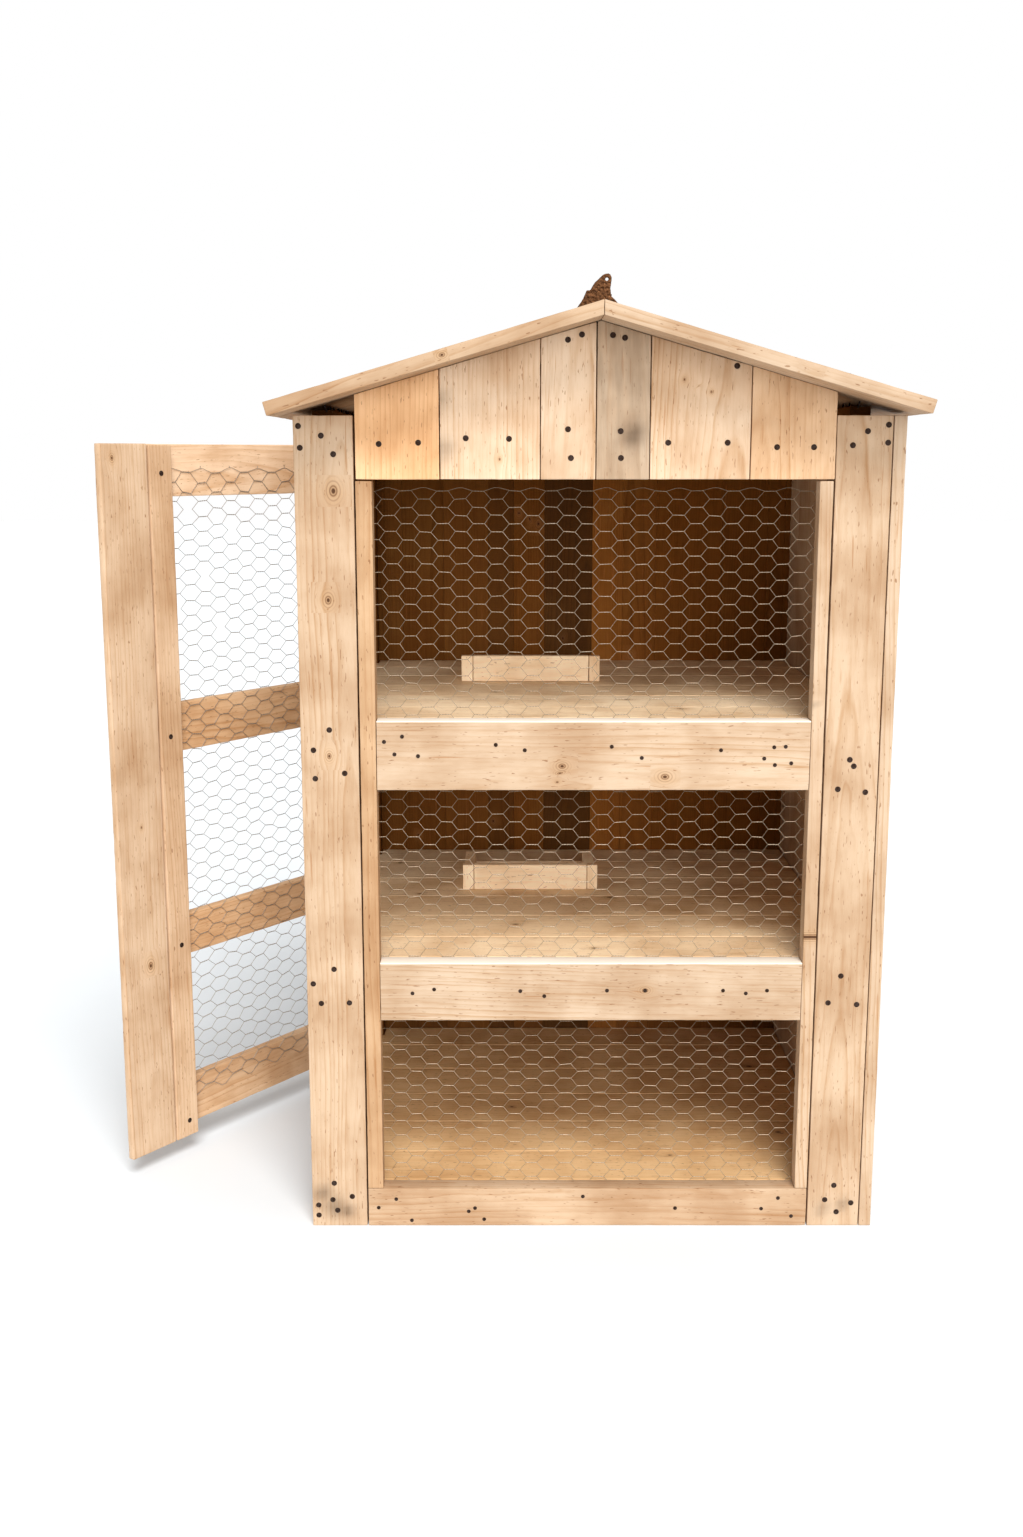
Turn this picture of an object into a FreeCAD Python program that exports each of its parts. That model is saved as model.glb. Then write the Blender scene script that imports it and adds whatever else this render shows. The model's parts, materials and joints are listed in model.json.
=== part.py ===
"""Rabbit hutch: a three-tier pallet-wood cage with a pitched roof and a netted side door.

Millimetres.  +X is the hutch's right, +Y its back and +Z up.  The origin is on the ground
under the middle of the body.  The side door stands open at its rest angle.
"""
import FreeCAD, Part
import math
import os
import re

import Sketcher
from FreeCAD import Placement, Rotation, Vector

os.makedirs("parts", exist_ok=True)
doc = FreeCAD.newDocument("rabbit_hutch")

# ---------------------------------------------------------------- driving dimensions
DIMENSIONS = {
    "body_width": 980,
    "body_depth": 820,
    "wall_height": 1392,
    "board_thick": 22,
    "back_thick": 20,
    "frame_depth": 35,
    "seam_gap": 2,
    "tight_gap": 0.4,
    "left_board_width": 96,
    "right_board_width": 90,
    "corner_board_thick": 21,
    "corner_gap": 1,
    "left_strip_width": 27,
    "right_strip_width": 22,
    "post_depth": 50,
    "hinge_post_width": 44,
    "bottom_rail_height": 70,
    "strip_top": 1289,
    "gable_base": 1291,
    "lower_shelf_top": 482,
    "lower_fascia_height": 103,
    "upper_shelf_top": 899,
    "upper_fascia_height": 117,
    "deck_gap": 1,
    "deck_setback": 3,
    "netting_gap": 0.4,
    "bearer_width": 35,
    "bearer_height": 45,
    "top_rail_base": 1300,
    "top_rail_height": 90,
    "side_board_reach": 62,
    "rear_board_reach": 60,
    "corner_board_width": 90,
    "door_head": 1354,
    "roof_pitch": 0.29,
    "roof_apex": 1538,
    "roof_rise": 23,
    "roof_overhang": 96,
    "roof_gap": 0.5,
    "roof_nail_inset": 24,
    "roof_wall_nail_inset": 19,
    "left_eave": 517,
    "right_eave": 505,
    "ridge_beam_width": 36,
    "ridge_beam_height": 60,
    "hatch_left": -215,
    "hatch_right": 8,
    "hatch_front": 80,
    "hatch_back": 284,
    "hatch_bearer_left_gap": 4,
    "hatch_bearer_right_gap": 24,
    "curb_left": -238,
    "curb_right": 30,
    "curb_height": 50,
    "curb_side_height": 22,
    "curb_thick": 20,
    "curb_left_thick": 22,
    "curb_right_thick": 21,
    "curb_gap": 0.5,
    "door_width": 650,
    "door_pin_offset": 6,
    "door_pin_gap": 1.5,
    "door_open_angle": 36.4,
    "door_base": 35,
    "door_top": 1350,
    "door_lead_width": 105,
    "door_stile_width": 53,
    "door_stile_gap": 4,
    "door_stile_drop": 2,
    "door_rail_setback": 24,
    "door_inner_thick": 16,
    "bottom_bar_base": 52,
    "bottom_bar_top": 143,
    "lower_bar_base": 392,
    "lower_bar_top": 471,
    "upper_bar_base": 787,
    "upper_bar_top": 878,
    "top_bar_base": 1256,
    "netting_thick": 1.6,
    "netting_margin": 1,
    "front_netting_base": 20,
    "front_netting_rise": 9,
    "door_netting_base": 96,
    "door_netting_top": 1312,
    "door_netting_inset": 10,
    "door_netting_setback": 30,
    "mesh_wire": 1.4,
    "mesh_twist": 19.6,
    "mesh_strip_columns": 4,
    "mesh_pitch": 26.4,
    "mesh_column": 29.6,
    "door_mesh_pitch": 27,
    "door_mesh_column": 38.5,
    "door_mesh_twist": 24,
    "hinge_height": 80,
    "hinge_reach": 45,
    "hinge_leaf_thick": 2,
    "hinge_knuckle_radius": 5,
    "hinge_pin_radius": 2.5,
    "hinge_clearance": 0.05,
    "hinge_knuckle_gap": 0.6,
    "hinge_knuckle_relief": 0.8,
    "hinge_pin_proud": 1.5,
    "leaf_screw_inset": 12,
    "screw_hole_gap": 0.2,
    "screw_radius": 2,
    "screw_head_radius": 3.8,
    "screw_head_thick": 1.3,
    "screw_length": 22,
    "button_reach": 95,
    "button_heel": 35,
    "button_width": 28,
    "button_thick": 12,
    "button_clearance": 1.5,
    "button_inset": 65,
    "button_screw_gap": 0.3,
    "lower_button_level": 431,
    "upper_button_level": 1303,
    "nail_radius": 1.4,
    "nail_head_radius": 4.7,
    "nail_head_thick": 0.9,
    "nail_proud": 0.1,
    "nail_length": 34,
    "brad_head_radius": 3.3,
    "hinge_nail_inset": 10,
    "brad_length": 20,
    "staple_wire": 1.4,
    "staple_span": 9,
    "staple_depth": 10,
    "finial_thick": 5,
    "finial_setback": 90,
    "finial_foot_depth": 36,
    "finial_gap": 0.2,
    "saddle_thick": 3.2,
}

sheet = doc.addObject("Spreadsheet::Sheet", "dims")
for row, (alias, number) in enumerate(DIMENSIONS.items(), start=1):
    sheet.set(f"A{row}", alias)
    sheet.set(f"B{row}", str(number))
    sheet.setAlias(f"B{row}", alias)
doc.recompute()


def bind(text):
    """An expression in which each name from the sheet points at its cell."""
    return re.sub(r"[a-z_]+", lambda word: cell(word.group()), text)


def cell(word):
    """The reference that an expression needs for a word, which may be a function's name."""
    return f"dims.{word}" if word in DIMENSIONS else word


def value(text):
    """The number that a name or an expression of the sheet comes to."""
    return float(sheet.evalExpression(bind(text)))


# ---------------------------------------------------------------- shared faces
LEFT = "- body_width / 2"
RIGHT = "body_width / 2"
FRONT = "- body_depth / 2"
REAR = "body_depth / 2"
BACK = "body_depth / 2 - back_thick"
BEHIND_FRONT = f"{FRONT} + board_thick"
NET_FACE = f"{FRONT} + frame_depth"
LEFT_INNER = f"{LEFT} + board_thick"
LEFT_BOARD = f"{LEFT} + left_board_width"
STRIP_LEFT = f"{LEFT_BOARD} + seam_gap"
OPEN_LEFT = f"{STRIP_LEFT} + left_strip_width"
CORNER_BOARD = f"{RIGHT} - corner_board_thick"
RIGHT_BOARD = f"{CORNER_BOARD} - corner_gap - right_board_width"
STRIP_RIGHT = f"{RIGHT_BOARD} - seam_gap"
OPEN_RIGHT = f"{STRIP_RIGHT} - right_strip_width"
RIGHT_SKIN = f"{CORNER_BOARD} - board_thick"
DECK_FRONT = f"{NET_FACE} + netting_thick + netting_gap"
DECK_LEFT = f"{LEFT} + 2 * board_thick + deck_setback"
DECK_RIGHT = f"{RIGHT_SKIN} - deck_gap"
POST_BACK = f"{BEHIND_FRONT} + post_depth"
HINGE_POST_FRONT = f"{BACK} - hinge_post_width"
DOORWAY_BACK = f"{BACK} - rear_board_reach"
DOORWAY_FRONT = f"{BEHIND_FRONT} + side_board_reach"

# The door is drawn shut about its hinge pin and then swung open by its placement.
# In its own frame +X goes into the hutch and -Y to the free edge.
PIN_X = f"{LEFT} - door_pin_offset"
PIN_Y = f"{DOORWAY_BACK} - door_pin_gap"
SKIN_OUT = "door_pin_offset"
SKIN_MID = "door_pin_offset + board_thick"
SKIN_NET = "door_pin_offset + board_thick + netting_thick"
SKIN_IN = "door_pin_offset + board_thick + door_inner_thick"
HINGE_EDGE = "- door_pin_gap"
FREE_EDGE = "- door_pin_gap - door_width"

finished = []


def finish(piece, label):
    """Give a sub-part its name and put it on the list of pieces to write."""
    piece.Label = label
    finished.append(piece)
    return piece


def box(name, west, south, base, east, north, top):
    """A squared board between two corners given as expressions."""
    piece = doc.addObject("Part::Box", name)
    piece.setExpression("Length", bind(f"( {east} ) - ( {west} )"))
    piece.setExpression("Width", bind(f"( {north} ) - ( {south} )"))
    piece.setExpression("Height", bind(f"( {top} ) - ( {base} )"))
    piece.setExpression("Placement.Base.x", bind(west))
    piece.setExpression("Placement.Base.y", bind(south))
    piece.setExpression("Placement.Base.z", bind(base))
    return piece


def board(label, *corners):
    """A squared board that is a sub-part of its own."""
    return finish(box(label + "_solid", *corners), label)


def group(label, pieces):
    """Several separate solids kept as one sub-part."""
    compound = doc.addObject("Part::Compound", label + "_group")
    compound.Links = pieces
    return finish(compound, label)


def cut(label, base, tool):
    """A solid or a group of solids with a tool taken out of it."""
    piece = doc.addObject("Part::Cut", label + "_cut")
    piece.Base = base
    piece.Tool = tool
    return piece


def swung(base="0"):
    """The placement of a door piece whose underside is at the given height."""
    return (f"placement(vector({PIN_X}; {PIN_Y}; {base}); "
            "rotation(vector(0; 0; -1); door_open_angle))")


def door_swing():
    """The door's turn about its hinge pins, for pieces built in the door's own axes."""
    return Placement(Vector(value(PIN_X), value(PIN_Y), 0),
                     Rotation(Vector(0, 0, -1), value("door_open_angle")))


def moved(x="0", y="0", z="0"):
    """A placement that only shifts."""
    return f"placement(vector({x}; {y}; {z}); rotation(vector(0; 0; 1); 0))"


def profile_body(name, role, corners, depth, placement, reverse=False):
    """A body padded from a polygon; corners and depth are expressions of the sheet."""
    body = doc.addObject("PartDesign::Body", name)
    sketch = body.newObject("Sketcher::SketchObject", name + "_outline")
    plane = next(item for item in body.Origin.OriginFeatures if item.Role == role)
    sketch.AttachmentSupport = [(plane, "")]
    sketch.MapMode = "FlatFace"
    count = len(corners)
    points = [Vector(value(across), value(along), 0) for across, along in corners]
    for index in range(count):
        sketch.addGeometry(Part.LineSegment(points[index], points[(index + 1) % count]))
    for index in range(count):
        following = (index + 1) % count
        sketch.addConstraint(Sketcher.Constraint("Coincident", index, 2, following, 1))
    for index, texts in enumerate(corners):
        for kind, text in zip(("DistanceX", "DistanceY"), texts):
            rule = Sketcher.Constraint(kind, -1, 1, index, 1, value(text))
            place = sketch.addConstraint(rule)
            sketch.renameConstraint(place, f"{kind}_{index}")
            sketch.setExpression(f"Constraints.{kind}_{index}", bind(text))
    pad = body.newObject("PartDesign::Pad", name + "_pad")
    pad.Profile = sketch
    pad.Reversed = reverse
    pad.setExpression("Length", bind(depth))
    body.setExpression("Placement", bind(placement))
    return body


def under_roof(across):
    """Height of the roof's underside at a distance from the ridge."""
    return f"roof_apex - roof_pitch * abs( {across} )"


def spread(low, high, count):
    """The edges of equal boards between two expressions."""
    step = f"( ( {high} ) - ( {low} ) ) / {count}"
    return [f"{low} + {index} * {step}" for index in range(count + 1)]


# ---------------------------------------------------------------- front frame
def make_front():
    """Corner boards, edge-on strips and the rails that close the front, all flush."""
    board("front_left_board", LEFT, FRONT, "0", LEFT_BOARD, BEHIND_FRONT, "wall_height")
    board("front_right_board", RIGHT_BOARD, FRONT, "0",
          f"{CORNER_BOARD} - corner_gap", BEHIND_FRONT, "wall_height")
    board("left_inner_strip", STRIP_LEFT, FRONT, "bottom_rail_height",
          OPEN_LEFT, NET_FACE, "strip_top")
    board("right_inner_strip", OPEN_RIGHT, FRONT, "bottom_rail_height",
          STRIP_RIGHT, NET_FACE, "strip_top")
    board("bottom_rail", STRIP_LEFT, FRONT, "0", STRIP_RIGHT, NET_FACE, "bottom_rail_height")
    board("lower_shelf_fascia", OPEN_LEFT, FRONT, "lower_shelf_top - lower_fascia_height",
          OPEN_RIGHT, NET_FACE, "lower_shelf_top")
    board("upper_shelf_fascia", OPEN_LEFT, FRONT, "upper_shelf_top - upper_fascia_height",
          OPEN_RIGHT, NET_FACE, "upper_shelf_top")


def make_posts():
    """Corner posts behind the boards, and the rails and ridge that carry the roof."""
    board("front_left_post", LEFT_INNER, BEHIND_FRONT, "0", STRIP_LEFT, POST_BACK, "wall_height")
    board("front_right_post", RIGHT_BOARD, BEHIND_FRONT, "0",
          RIGHT_SKIN, POST_BACK, "wall_height")
    board("hinge_post", LEFT_INNER, HINGE_POST_FRONT, "0",
          f"{LEFT_INNER} + hinge_post_width", BACK, "wall_height")
    rail_top = "top_rail_base + top_rail_height"
    board("front_top_rail", STRIP_LEFT, BEHIND_FRONT, "top_rail_base",
          RIGHT_BOARD, f"{BEHIND_FRONT} + frame_depth", rail_top)
    board("back_top_rail", f"{LEFT_INNER} + hinge_post_width", f"{BACK} - frame_depth",
          "top_rail_base", RIGHT_SKIN, BACK, rail_top)
    board("left_eave_rail", LEFT_INNER, POST_BACK, "door_head",
          f"{LEFT_INNER} + bearer_width", HINGE_POST_FRONT, under_roof(LEFT_INNER))
    board("right_eave_rail", f"{RIGHT_SKIN} - bearer_width", POST_BACK, "door_head",
          RIGHT_SKIN, f"{BACK} - frame_depth", under_roof(RIGHT_SKIN))
    beam_top = under_roof("ridge_beam_width / 2")
    board("ridge_beam", "- ridge_beam_width / 2", BEHIND_FRONT,
          f"{beam_top} - ridge_beam_height", "ridge_beam_width / 2", BACK, beam_top)


def make_gable():
    """Six boards over the front opening, their tops cut to the roof's slope."""
    widths = (136, 161, 89, 86, 161)
    edges = [STRIP_LEFT]
    for width in widths:
        edges.append(f"{edges[-1]} + {width}")
    edges.append(f"{STRIP_RIGHT} + seam_gap")
    for index in range(len(widths) + 1):
        low = f"{edges[index]} + seam_gap / 4"
        high = f"{edges[index + 1]} - seam_gap / 4"
        corners = [(low, "gable_base"), (high, "gable_base"), (high, under_roof(high))]
        if value(low) < 0 < value(high):
            corners.append(("0", "roof_apex"))
        corners.append((low, under_roof(low)))
        label = f"gable_board_{index + 1}"
        body = profile_body(label + "_body", "XZ_Plane", corners, "board_thick",
                            moved(y=FRONT), reverse=True)
        finish(body, label)


# ---------------------------------------------------------------- sides and back
def make_left_side():
    """The fixed boards round the side doorway."""
    board("left_front_side_board", LEFT, BEHIND_FRONT, "0",
          LEFT_INNER, DOORWAY_FRONT, "wall_height")
    board("left_rear_side_board", LEFT, DOORWAY_BACK, "0", LEFT_INNER, BACK, "wall_height")
    board("left_top_board", LEFT, DOORWAY_FRONT, "door_head",
          LEFT_INNER, DOORWAY_BACK, "wall_height")


BARS = (("bottom", "bottom_bar_base", "bottom_bar_top"),
        ("lower", "lower_bar_base", "lower_bar_top"),
        ("upper", "upper_bar_base", "upper_bar_top"),
        ("top", "top_bar_base", "door_top"))


def make_right_side():
    """A two-layer wall: upright boards inside, corner boards and rails outside."""
    board("right_front_corner_board", CORNER_BOARD, FRONT, "0",
          RIGHT, f"{FRONT} + corner_board_width", "wall_height")
    board("right_rear_corner_board", CORNER_BOARD, f"{BACK} - corner_board_width", "0",
          RIGHT, BACK, "wall_height")
    rails = []
    for name, base, top in BARS:
        rails.append(box(f"right_{name}_bar", CORNER_BOARD, f"{FRONT} + corner_board_width",
                         base, RIGHT, f"{BACK} - corner_board_width", top))
    group("right_wall_rails", rails)
    edges = spread(BEHIND_FRONT, BACK, 8)
    skins = []
    for index in range(8):
        skins.append(box(f"right_skin_{index + 1}", RIGHT_SKIN, f"{edges[index]} + tight_gap / 2",
                         "0", CORNER_BOARD, f"{edges[index + 1]} - tight_gap / 2", "wall_height"))
    group("right_wall_boards", skins)


def make_back_wall():
    """Upright boards of mixed widths that run up to the roof."""
    widths = (118, 87, 95, 54, 65, 101, 65, 70, 140, 95, 36)
    edges = [LEFT]
    for width in widths:
        edges.append(f"{edges[-1]} + {width}")
    edges.append(RIGHT)
    bodies = []
    for index in range(len(widths) + 1):
        low = f"{edges[index]} + tight_gap / 2"
        high = f"{edges[index + 1]} - tight_gap / 2"
        corners = [(low, "0"), (high, "0"), (high, under_roof(high))]
        if value(low) < 0 < value(high):
            corners.append(("0", "roof_apex"))
        corners.append((low, under_roof(low)))
        bodies.append(profile_body(f"back_board_{index + 1}", "XZ_Plane", corners,
                                   "back_thick", moved(y=BACK), reverse=True))
    group("back_wall_boards", bodies)


# ---------------------------------------------------------------- floors
def make_deck(label, top):
    """Boards that run from side to side, with their seams one behind the other."""
    edges = [DECK_FRONT] + [f"{FRONT} + {reach}" for reach in (154, 289, 424, 559, 694)] + [BACK]
    boards = []
    for index in range(len(edges) - 1):
        south = f"{edges[index]} + seam_gap / 2"
        north = f"{edges[index + 1]} - seam_gap / 2"
        boards.append(box(f"{label}_{index + 1}", DECK_LEFT, south, f"{top} - board_thick",
                          DECK_RIGHT, north, top))
    return boards


def notch_tools(label, top):
    """The corners of a deck that the posts pass through."""
    corners = ((LEFT_INNER, BEHIND_FRONT, STRIP_LEFT, POST_BACK),
               (RIGHT_BOARD, BEHIND_FRONT, RIGHT_SKIN, POST_BACK),
               (LEFT_INNER, HINGE_POST_FRONT, f"{LEFT_INNER} + hinge_post_width", BACK))
    tools = []
    for index, (west, south, east, north) in enumerate(corners):
        tools.append(box(f"{label}_notch_{index + 1}", f"{west} - deck_gap", f"{south} - deck_gap",
                         f"{top} - board_thick - deck_gap", f"{east} + deck_gap",
                         f"{north} + deck_gap", f"{top} + deck_gap"))
    return tools


def make_bearers(label, top, height, sleepers):
    """Front-to-back bearers and a back rail under a deck."""
    base = f"{top} - board_thick - {height}"
    roof = f"{top} - board_thick"
    rail_front = f"{BACK} - bearer_width"
    spans = [(DECK_LEFT, POST_BACK, f"{DECK_LEFT} + bearer_width", HINGE_POST_FRONT),
             (f"{RIGHT_SKIN} - bearer_width", POST_BACK, RIGHT_SKIN, rail_front),
             (f"{LEFT_INNER} + hinge_post_width", rail_front, RIGHT_SKIN, BACK)]
    for west in sleepers:
        spans.append((west, DECK_FRONT, f"{west} + bearer_width", rail_front))
    pieces = []
    for index, (west, south, east, north) in enumerate(spans):
        pieces.append(box(f"{label}_{index + 1}", west, south, base, east, north, roof))
    group(label, pieces)


def make_floors():
    """The ground floor and the two shelves with their hatches."""
    make_bearers("floor_joists", "bottom_rail_height",
                 "( bottom_rail_height - board_thick )", ["- bearer_width / 2"])
    beside_hatch = ["hatch_left - bearer_width - hatch_bearer_left_gap",
                    "hatch_right + hatch_bearer_right_gap"]
    for level in ("lower", "upper"):
        make_bearers(f"{level}_shelf_bearers", f"{level}_shelf_top", "bearer_height",
                     beside_hatch)
    for label, top, hatched in (("floor_boards", "bottom_rail_height", False),
                                ("lower_shelf_boards", "lower_shelf_top", True),
                                ("upper_shelf_boards", "upper_shelf_top", True)):
        deck = doc.addObject("Part::Compound", label + "_deck")
        deck.Links = make_deck(label, top)
        tools = notch_tools(label, top)
        if hatched:
            tools.append(box(label + "_hatch", "hatch_left", "hatch_front",
                             f"{top} - board_thick - deck_gap", "hatch_right", "hatch_back",
                             f"{top} + deck_gap"))
        holes = doc.addObject("Part::Compound", label + "_holes")
        holes.Links = tools
        finish(cut(label, deck, holes), label)
    for level in ("lower", "upper"):
        make_curb(f"{level}_hatch_curb", f"{level}_shelf_top")


def make_curb(label, top):
    """A curb before a hatch, with a block at each end, and a low board along each side."""
    high = f"{top} + curb_height"
    low = f"{top} + curb_side_height"
    front = "hatch_front - curb_thick"
    west_side = "curb_left + curb_left_thick"
    east_side = "curb_right - curb_right_thick"
    group(label, [
        box(label + "_left_block", "curb_left", front, top, west_side, "hatch_front", high),
        box(label + "_right_block", east_side, front, top, "curb_right", "hatch_front", high),
        box(label + "_front", f"{west_side} + curb_gap", front, top,
            f"{east_side} - curb_gap", "hatch_front", high),
        box(label + "_left_side", "curb_left", "hatch_front + curb_gap", top,
            west_side, "hatch_back", low),
        box(label + "_right_side", east_side, "hatch_front + curb_gap", top,
            "curb_right", "hatch_back", low),
    ])


# ---------------------------------------------------------------- roof
def make_roof():
    """Boards from the ridge to the eaves, square-ended at the eave and plumb at the ridge."""
    edges = spread(f"{FRONT} - roof_overhang", f"{REAR} + roof_overhang", 8)
    lean = "sqrt( 1 + roof_pitch * roof_pitch )"
    for side, sign, reach in (("left", "-", "left_eave"), ("right", "", "right_eave")):
        skew = f"roof_rise * roof_pitch / ( {lean} * {lean} )"
        corners = [(f"{sign} roof_gap / 4", f"roof_apex + roof_rise"),
                   (f"{sign} roof_gap / 4", "roof_apex"),
                   (f"{sign} {reach}", f"roof_apex - roof_pitch * {reach}"),
                   (f"{sign} ( {reach} + {skew} )",
                    f"roof_apex + roof_rise - roof_pitch * ( {reach} + {skew} )")]
        boards = []
        for index in range(8):
            width = f"( {edges[index + 1]} ) - ( {edges[index]} ) - roof_gap"
            body = profile_body(f"roof_{side}_{index + 1}", "XZ_Plane", corners, width,
                                moved(y=f"{edges[index]} + roof_gap / 2"), reverse=True)
            boards.append(body)
        group(f"roof_boards_{side}", boards)


def make_finial():
    """An iron tongue that stands on a saddle over the ridge."""
    top = "roof_apex + roof_rise"
    front = f"{FRONT} - roof_overhang + finial_setback"
    drop = "roof_pitch"
    seat = f"{top} + finial_gap"
    outline = [("-52", f"{seat} - {drop} * 52"), ("0", seat), ("30", f"{seat} - {drop} * 30"),
               ("29", f"{top}"), ("25", f"{top} + 6"), ("17", f"{top} + 14"),
               ("15", f"{top} + 26"), ("17", f"{top} + 42"), ("15", f"{top} + 47"),
               ("11", f"{top} + 49"), ("6", f"{top} + 48.5"), ("1", f"{top} + 45.5"),
               ("-10", f"{top} + 35"), ("-18", f"{top} + 23"), ("-23", f"{top} + 23"),
               ("-31", f"{top} + 6"), ("-38", f"{top} - 3"), ("-50", f"{top} - 8")]
    tongue = profile_body("finial_tongue", "XZ_Plane", outline, "finial_thick",
                          moved(y=f"{front} + finial_foot_depth / 2 - finial_thick / 2"),
                          reverse=True)
    crown = f"{seat} + saddle_thick"
    saddle_line = [("-58", f"{seat} - {drop} * 58"), ("0", seat), ("44", f"{seat} - {drop} * 44"),
                   ("44", f"{crown} - {drop} * 44"), ("0", crown),
                   ("-58", f"{crown} - {drop} * 58")]
    saddle = profile_body("finial_saddle", "XZ_Plane", saddle_line, "finial_foot_depth",
                          moved(y=front), reverse=True)
    hole = doc.addObject("Part::Cylinder", "finial_hole")
    hole.setExpression("Radius", bind("finial_thick / 2"))
    hole.setExpression("Height", bind("finial_foot_depth"))
    hole.setExpression("Placement", bind(
        f"placement(vector(9; {front}; {top} + 40); rotation(vector(-1; 0; 0); 90))"))
    whole = doc.addObject("Part::MultiFuse", "finial_fused")
    whole.Shapes = [tongue, saddle]
    finish(cut("ridge_finial", whole, hole), "ridge_finial")


# ---------------------------------------------------------------- side door
def door_board(label, outer, inner, near, far, base, top):
    """A board of the door, between two distances through it and two along it."""
    corners = [(outer, far), (inner, far), (inner, near), (outer, near)]
    body = profile_body(label + "_body", "XY_Plane", corners, f"( {top} ) - ( {base} )",
                        swung(base))
    finish(body, label)


def make_door():
    """Rails outside, upright boards inside, and netting between them."""
    lead_near = f"{FREE_EDGE} + door_lead_width"
    stile_far = f"{lead_near} + door_stile_gap"
    stile_near = f"{stile_far} + door_stile_width"
    door_board("door_leading_board", SKIN_NET, SKIN_IN, lead_near, FREE_EDGE,
               "door_base", "door_top")
    door_board("door_inner_stile", SKIN_NET, SKIN_IN, stile_near, stile_far,
               "door_base", "door_top - door_stile_drop")
    door_board("door_hinge_stile", SKIN_NET, SKIN_IN, HINGE_EDGE,
               f"{HINGE_EDGE} - door_stile_width", "door_base", "door_top")
    for name, base, top in BARS:
        door_board(f"door_{name}_rail", SKIN_OUT, SKIN_MID, HINGE_EDGE,
                   f"{FREE_EDGE} + door_rail_setback", base, top)


# ---------------------------------------------------------------- netting
def netting(label, low, high, pitch, column, flat_length):
    """A flat sheet of hexagonal mesh in XZ, kept as a few strips that meet along a wire.

    Only full cells are cut, so the sheet has a plain border.
    """
    wire = value("mesh_wire")
    twist = flat_length / 2
    strip_columns = int(value("mesh_strip_columns"))
    half = pitch / 2
    run = column - 2 * twist
    lean = math.hypot(half, run)
    reach = twist + run - wire / 2 * lean / half
    flat = reach - (half - wire / 2) * run / half
    cell_corners = [(-flat, half - wire / 2), (flat, half - wire / 2), (reach, 0),
                    (flat, wire / 2 - half), (-flat, wire / 2 - half), (-reach, 0)]
    columns = int((high[0] - low[0] - 2 * (wire + twist + run)) / column) + 1
    rows = int((high[1] - low[1] - 2 * wire) / pitch - 0.5)
    start_x = (low[0] + high[0] - (columns - 1) * column) / 2
    start_z = (low[1] + high[1] - (rows - 0.5) * pitch) / 2

    def centre(index, step):
        return start_x + index * column, start_z + (step + 0.5 * (index % 2)) * pitch

    def seam(index):
        """The zigzag from the bottom edge to the top one, right of a column."""
        if index < 0:
            return [(low[0], low[1]), (low[0], high[1])]
        if index >= columns - 1:
            return [(high[0], low[1]), (high[0], high[1])]
        line = centre(index, 0)[0] + twist
        path = [(line, low[1])]
        for step in range(rows):
            level = centre(index, step)[1]
            path.extend([(line, level - half), (line + run, level)])
        path.extend([(line, centre(index, rows - 1)[1] + half), (line, high[1])])
        return path

    strips = []
    for first in range(0, columns, strip_columns):
        last = min(first + strip_columns, columns) - 1
        wires = [polygon(seam(last) + seam(first - 1)[::-1])]
        for index in range(first, last + 1):
            for step in range(rows):
                x, z = centre(index, step)
                wires.append(polygon([(x + dx, z + dz) for dx, dz in cell_corners]))
        strips.append(Part.Face(wires).extrude(Vector(0, value("netting_thick"), 0)))
    piece = doc.addObject("Part::Feature", label + "_mesh")
    piece.Shape = Part.makeCompound(strips)
    return finish(piece, label)


def polygon(corners):
    """A closed wire in the XZ plane."""
    points = [Vector(x, 0, z) for x, z in corners]
    return Part.makePolygon(points + points[:1])


def make_netting():
    """One sheet behind the front frame and one between the door's layers."""
    front = netting("front_netting",
                    (value(f"{STRIP_LEFT} + netting_margin"), value("front_netting_base")),
                    (value(f"{STRIP_RIGHT} - netting_margin"),
                     value("strip_top + front_netting_rise")),
                    value("mesh_pitch"), value("mesh_column"), value("mesh_twist"))
    front.Placement = Placement(Vector(0, value(NET_FACE), 0), Rotation())
    door = netting("door_netting",
                   (value(f"{FREE_EDGE} + door_netting_setback"), value("door_netting_base")),
                   (value(f"{HINGE_EDGE} - door_netting_inset"), value("door_netting_top")),
                   value("door_mesh_pitch"), value("door_mesh_column"), value("door_mesh_twist"))
    turned = Placement(Vector(value(SKIN_NET), 0, 0), Rotation(Vector(0, 0, 1), 90))
    door.Placement = door_swing().multiply(turned)


# ---------------------------------------------------------------- hinges and buttons
HINGE_LEVELS = ("57", "792", "1263")
LEAF_SCREWS = (14, 40, 66)


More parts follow.
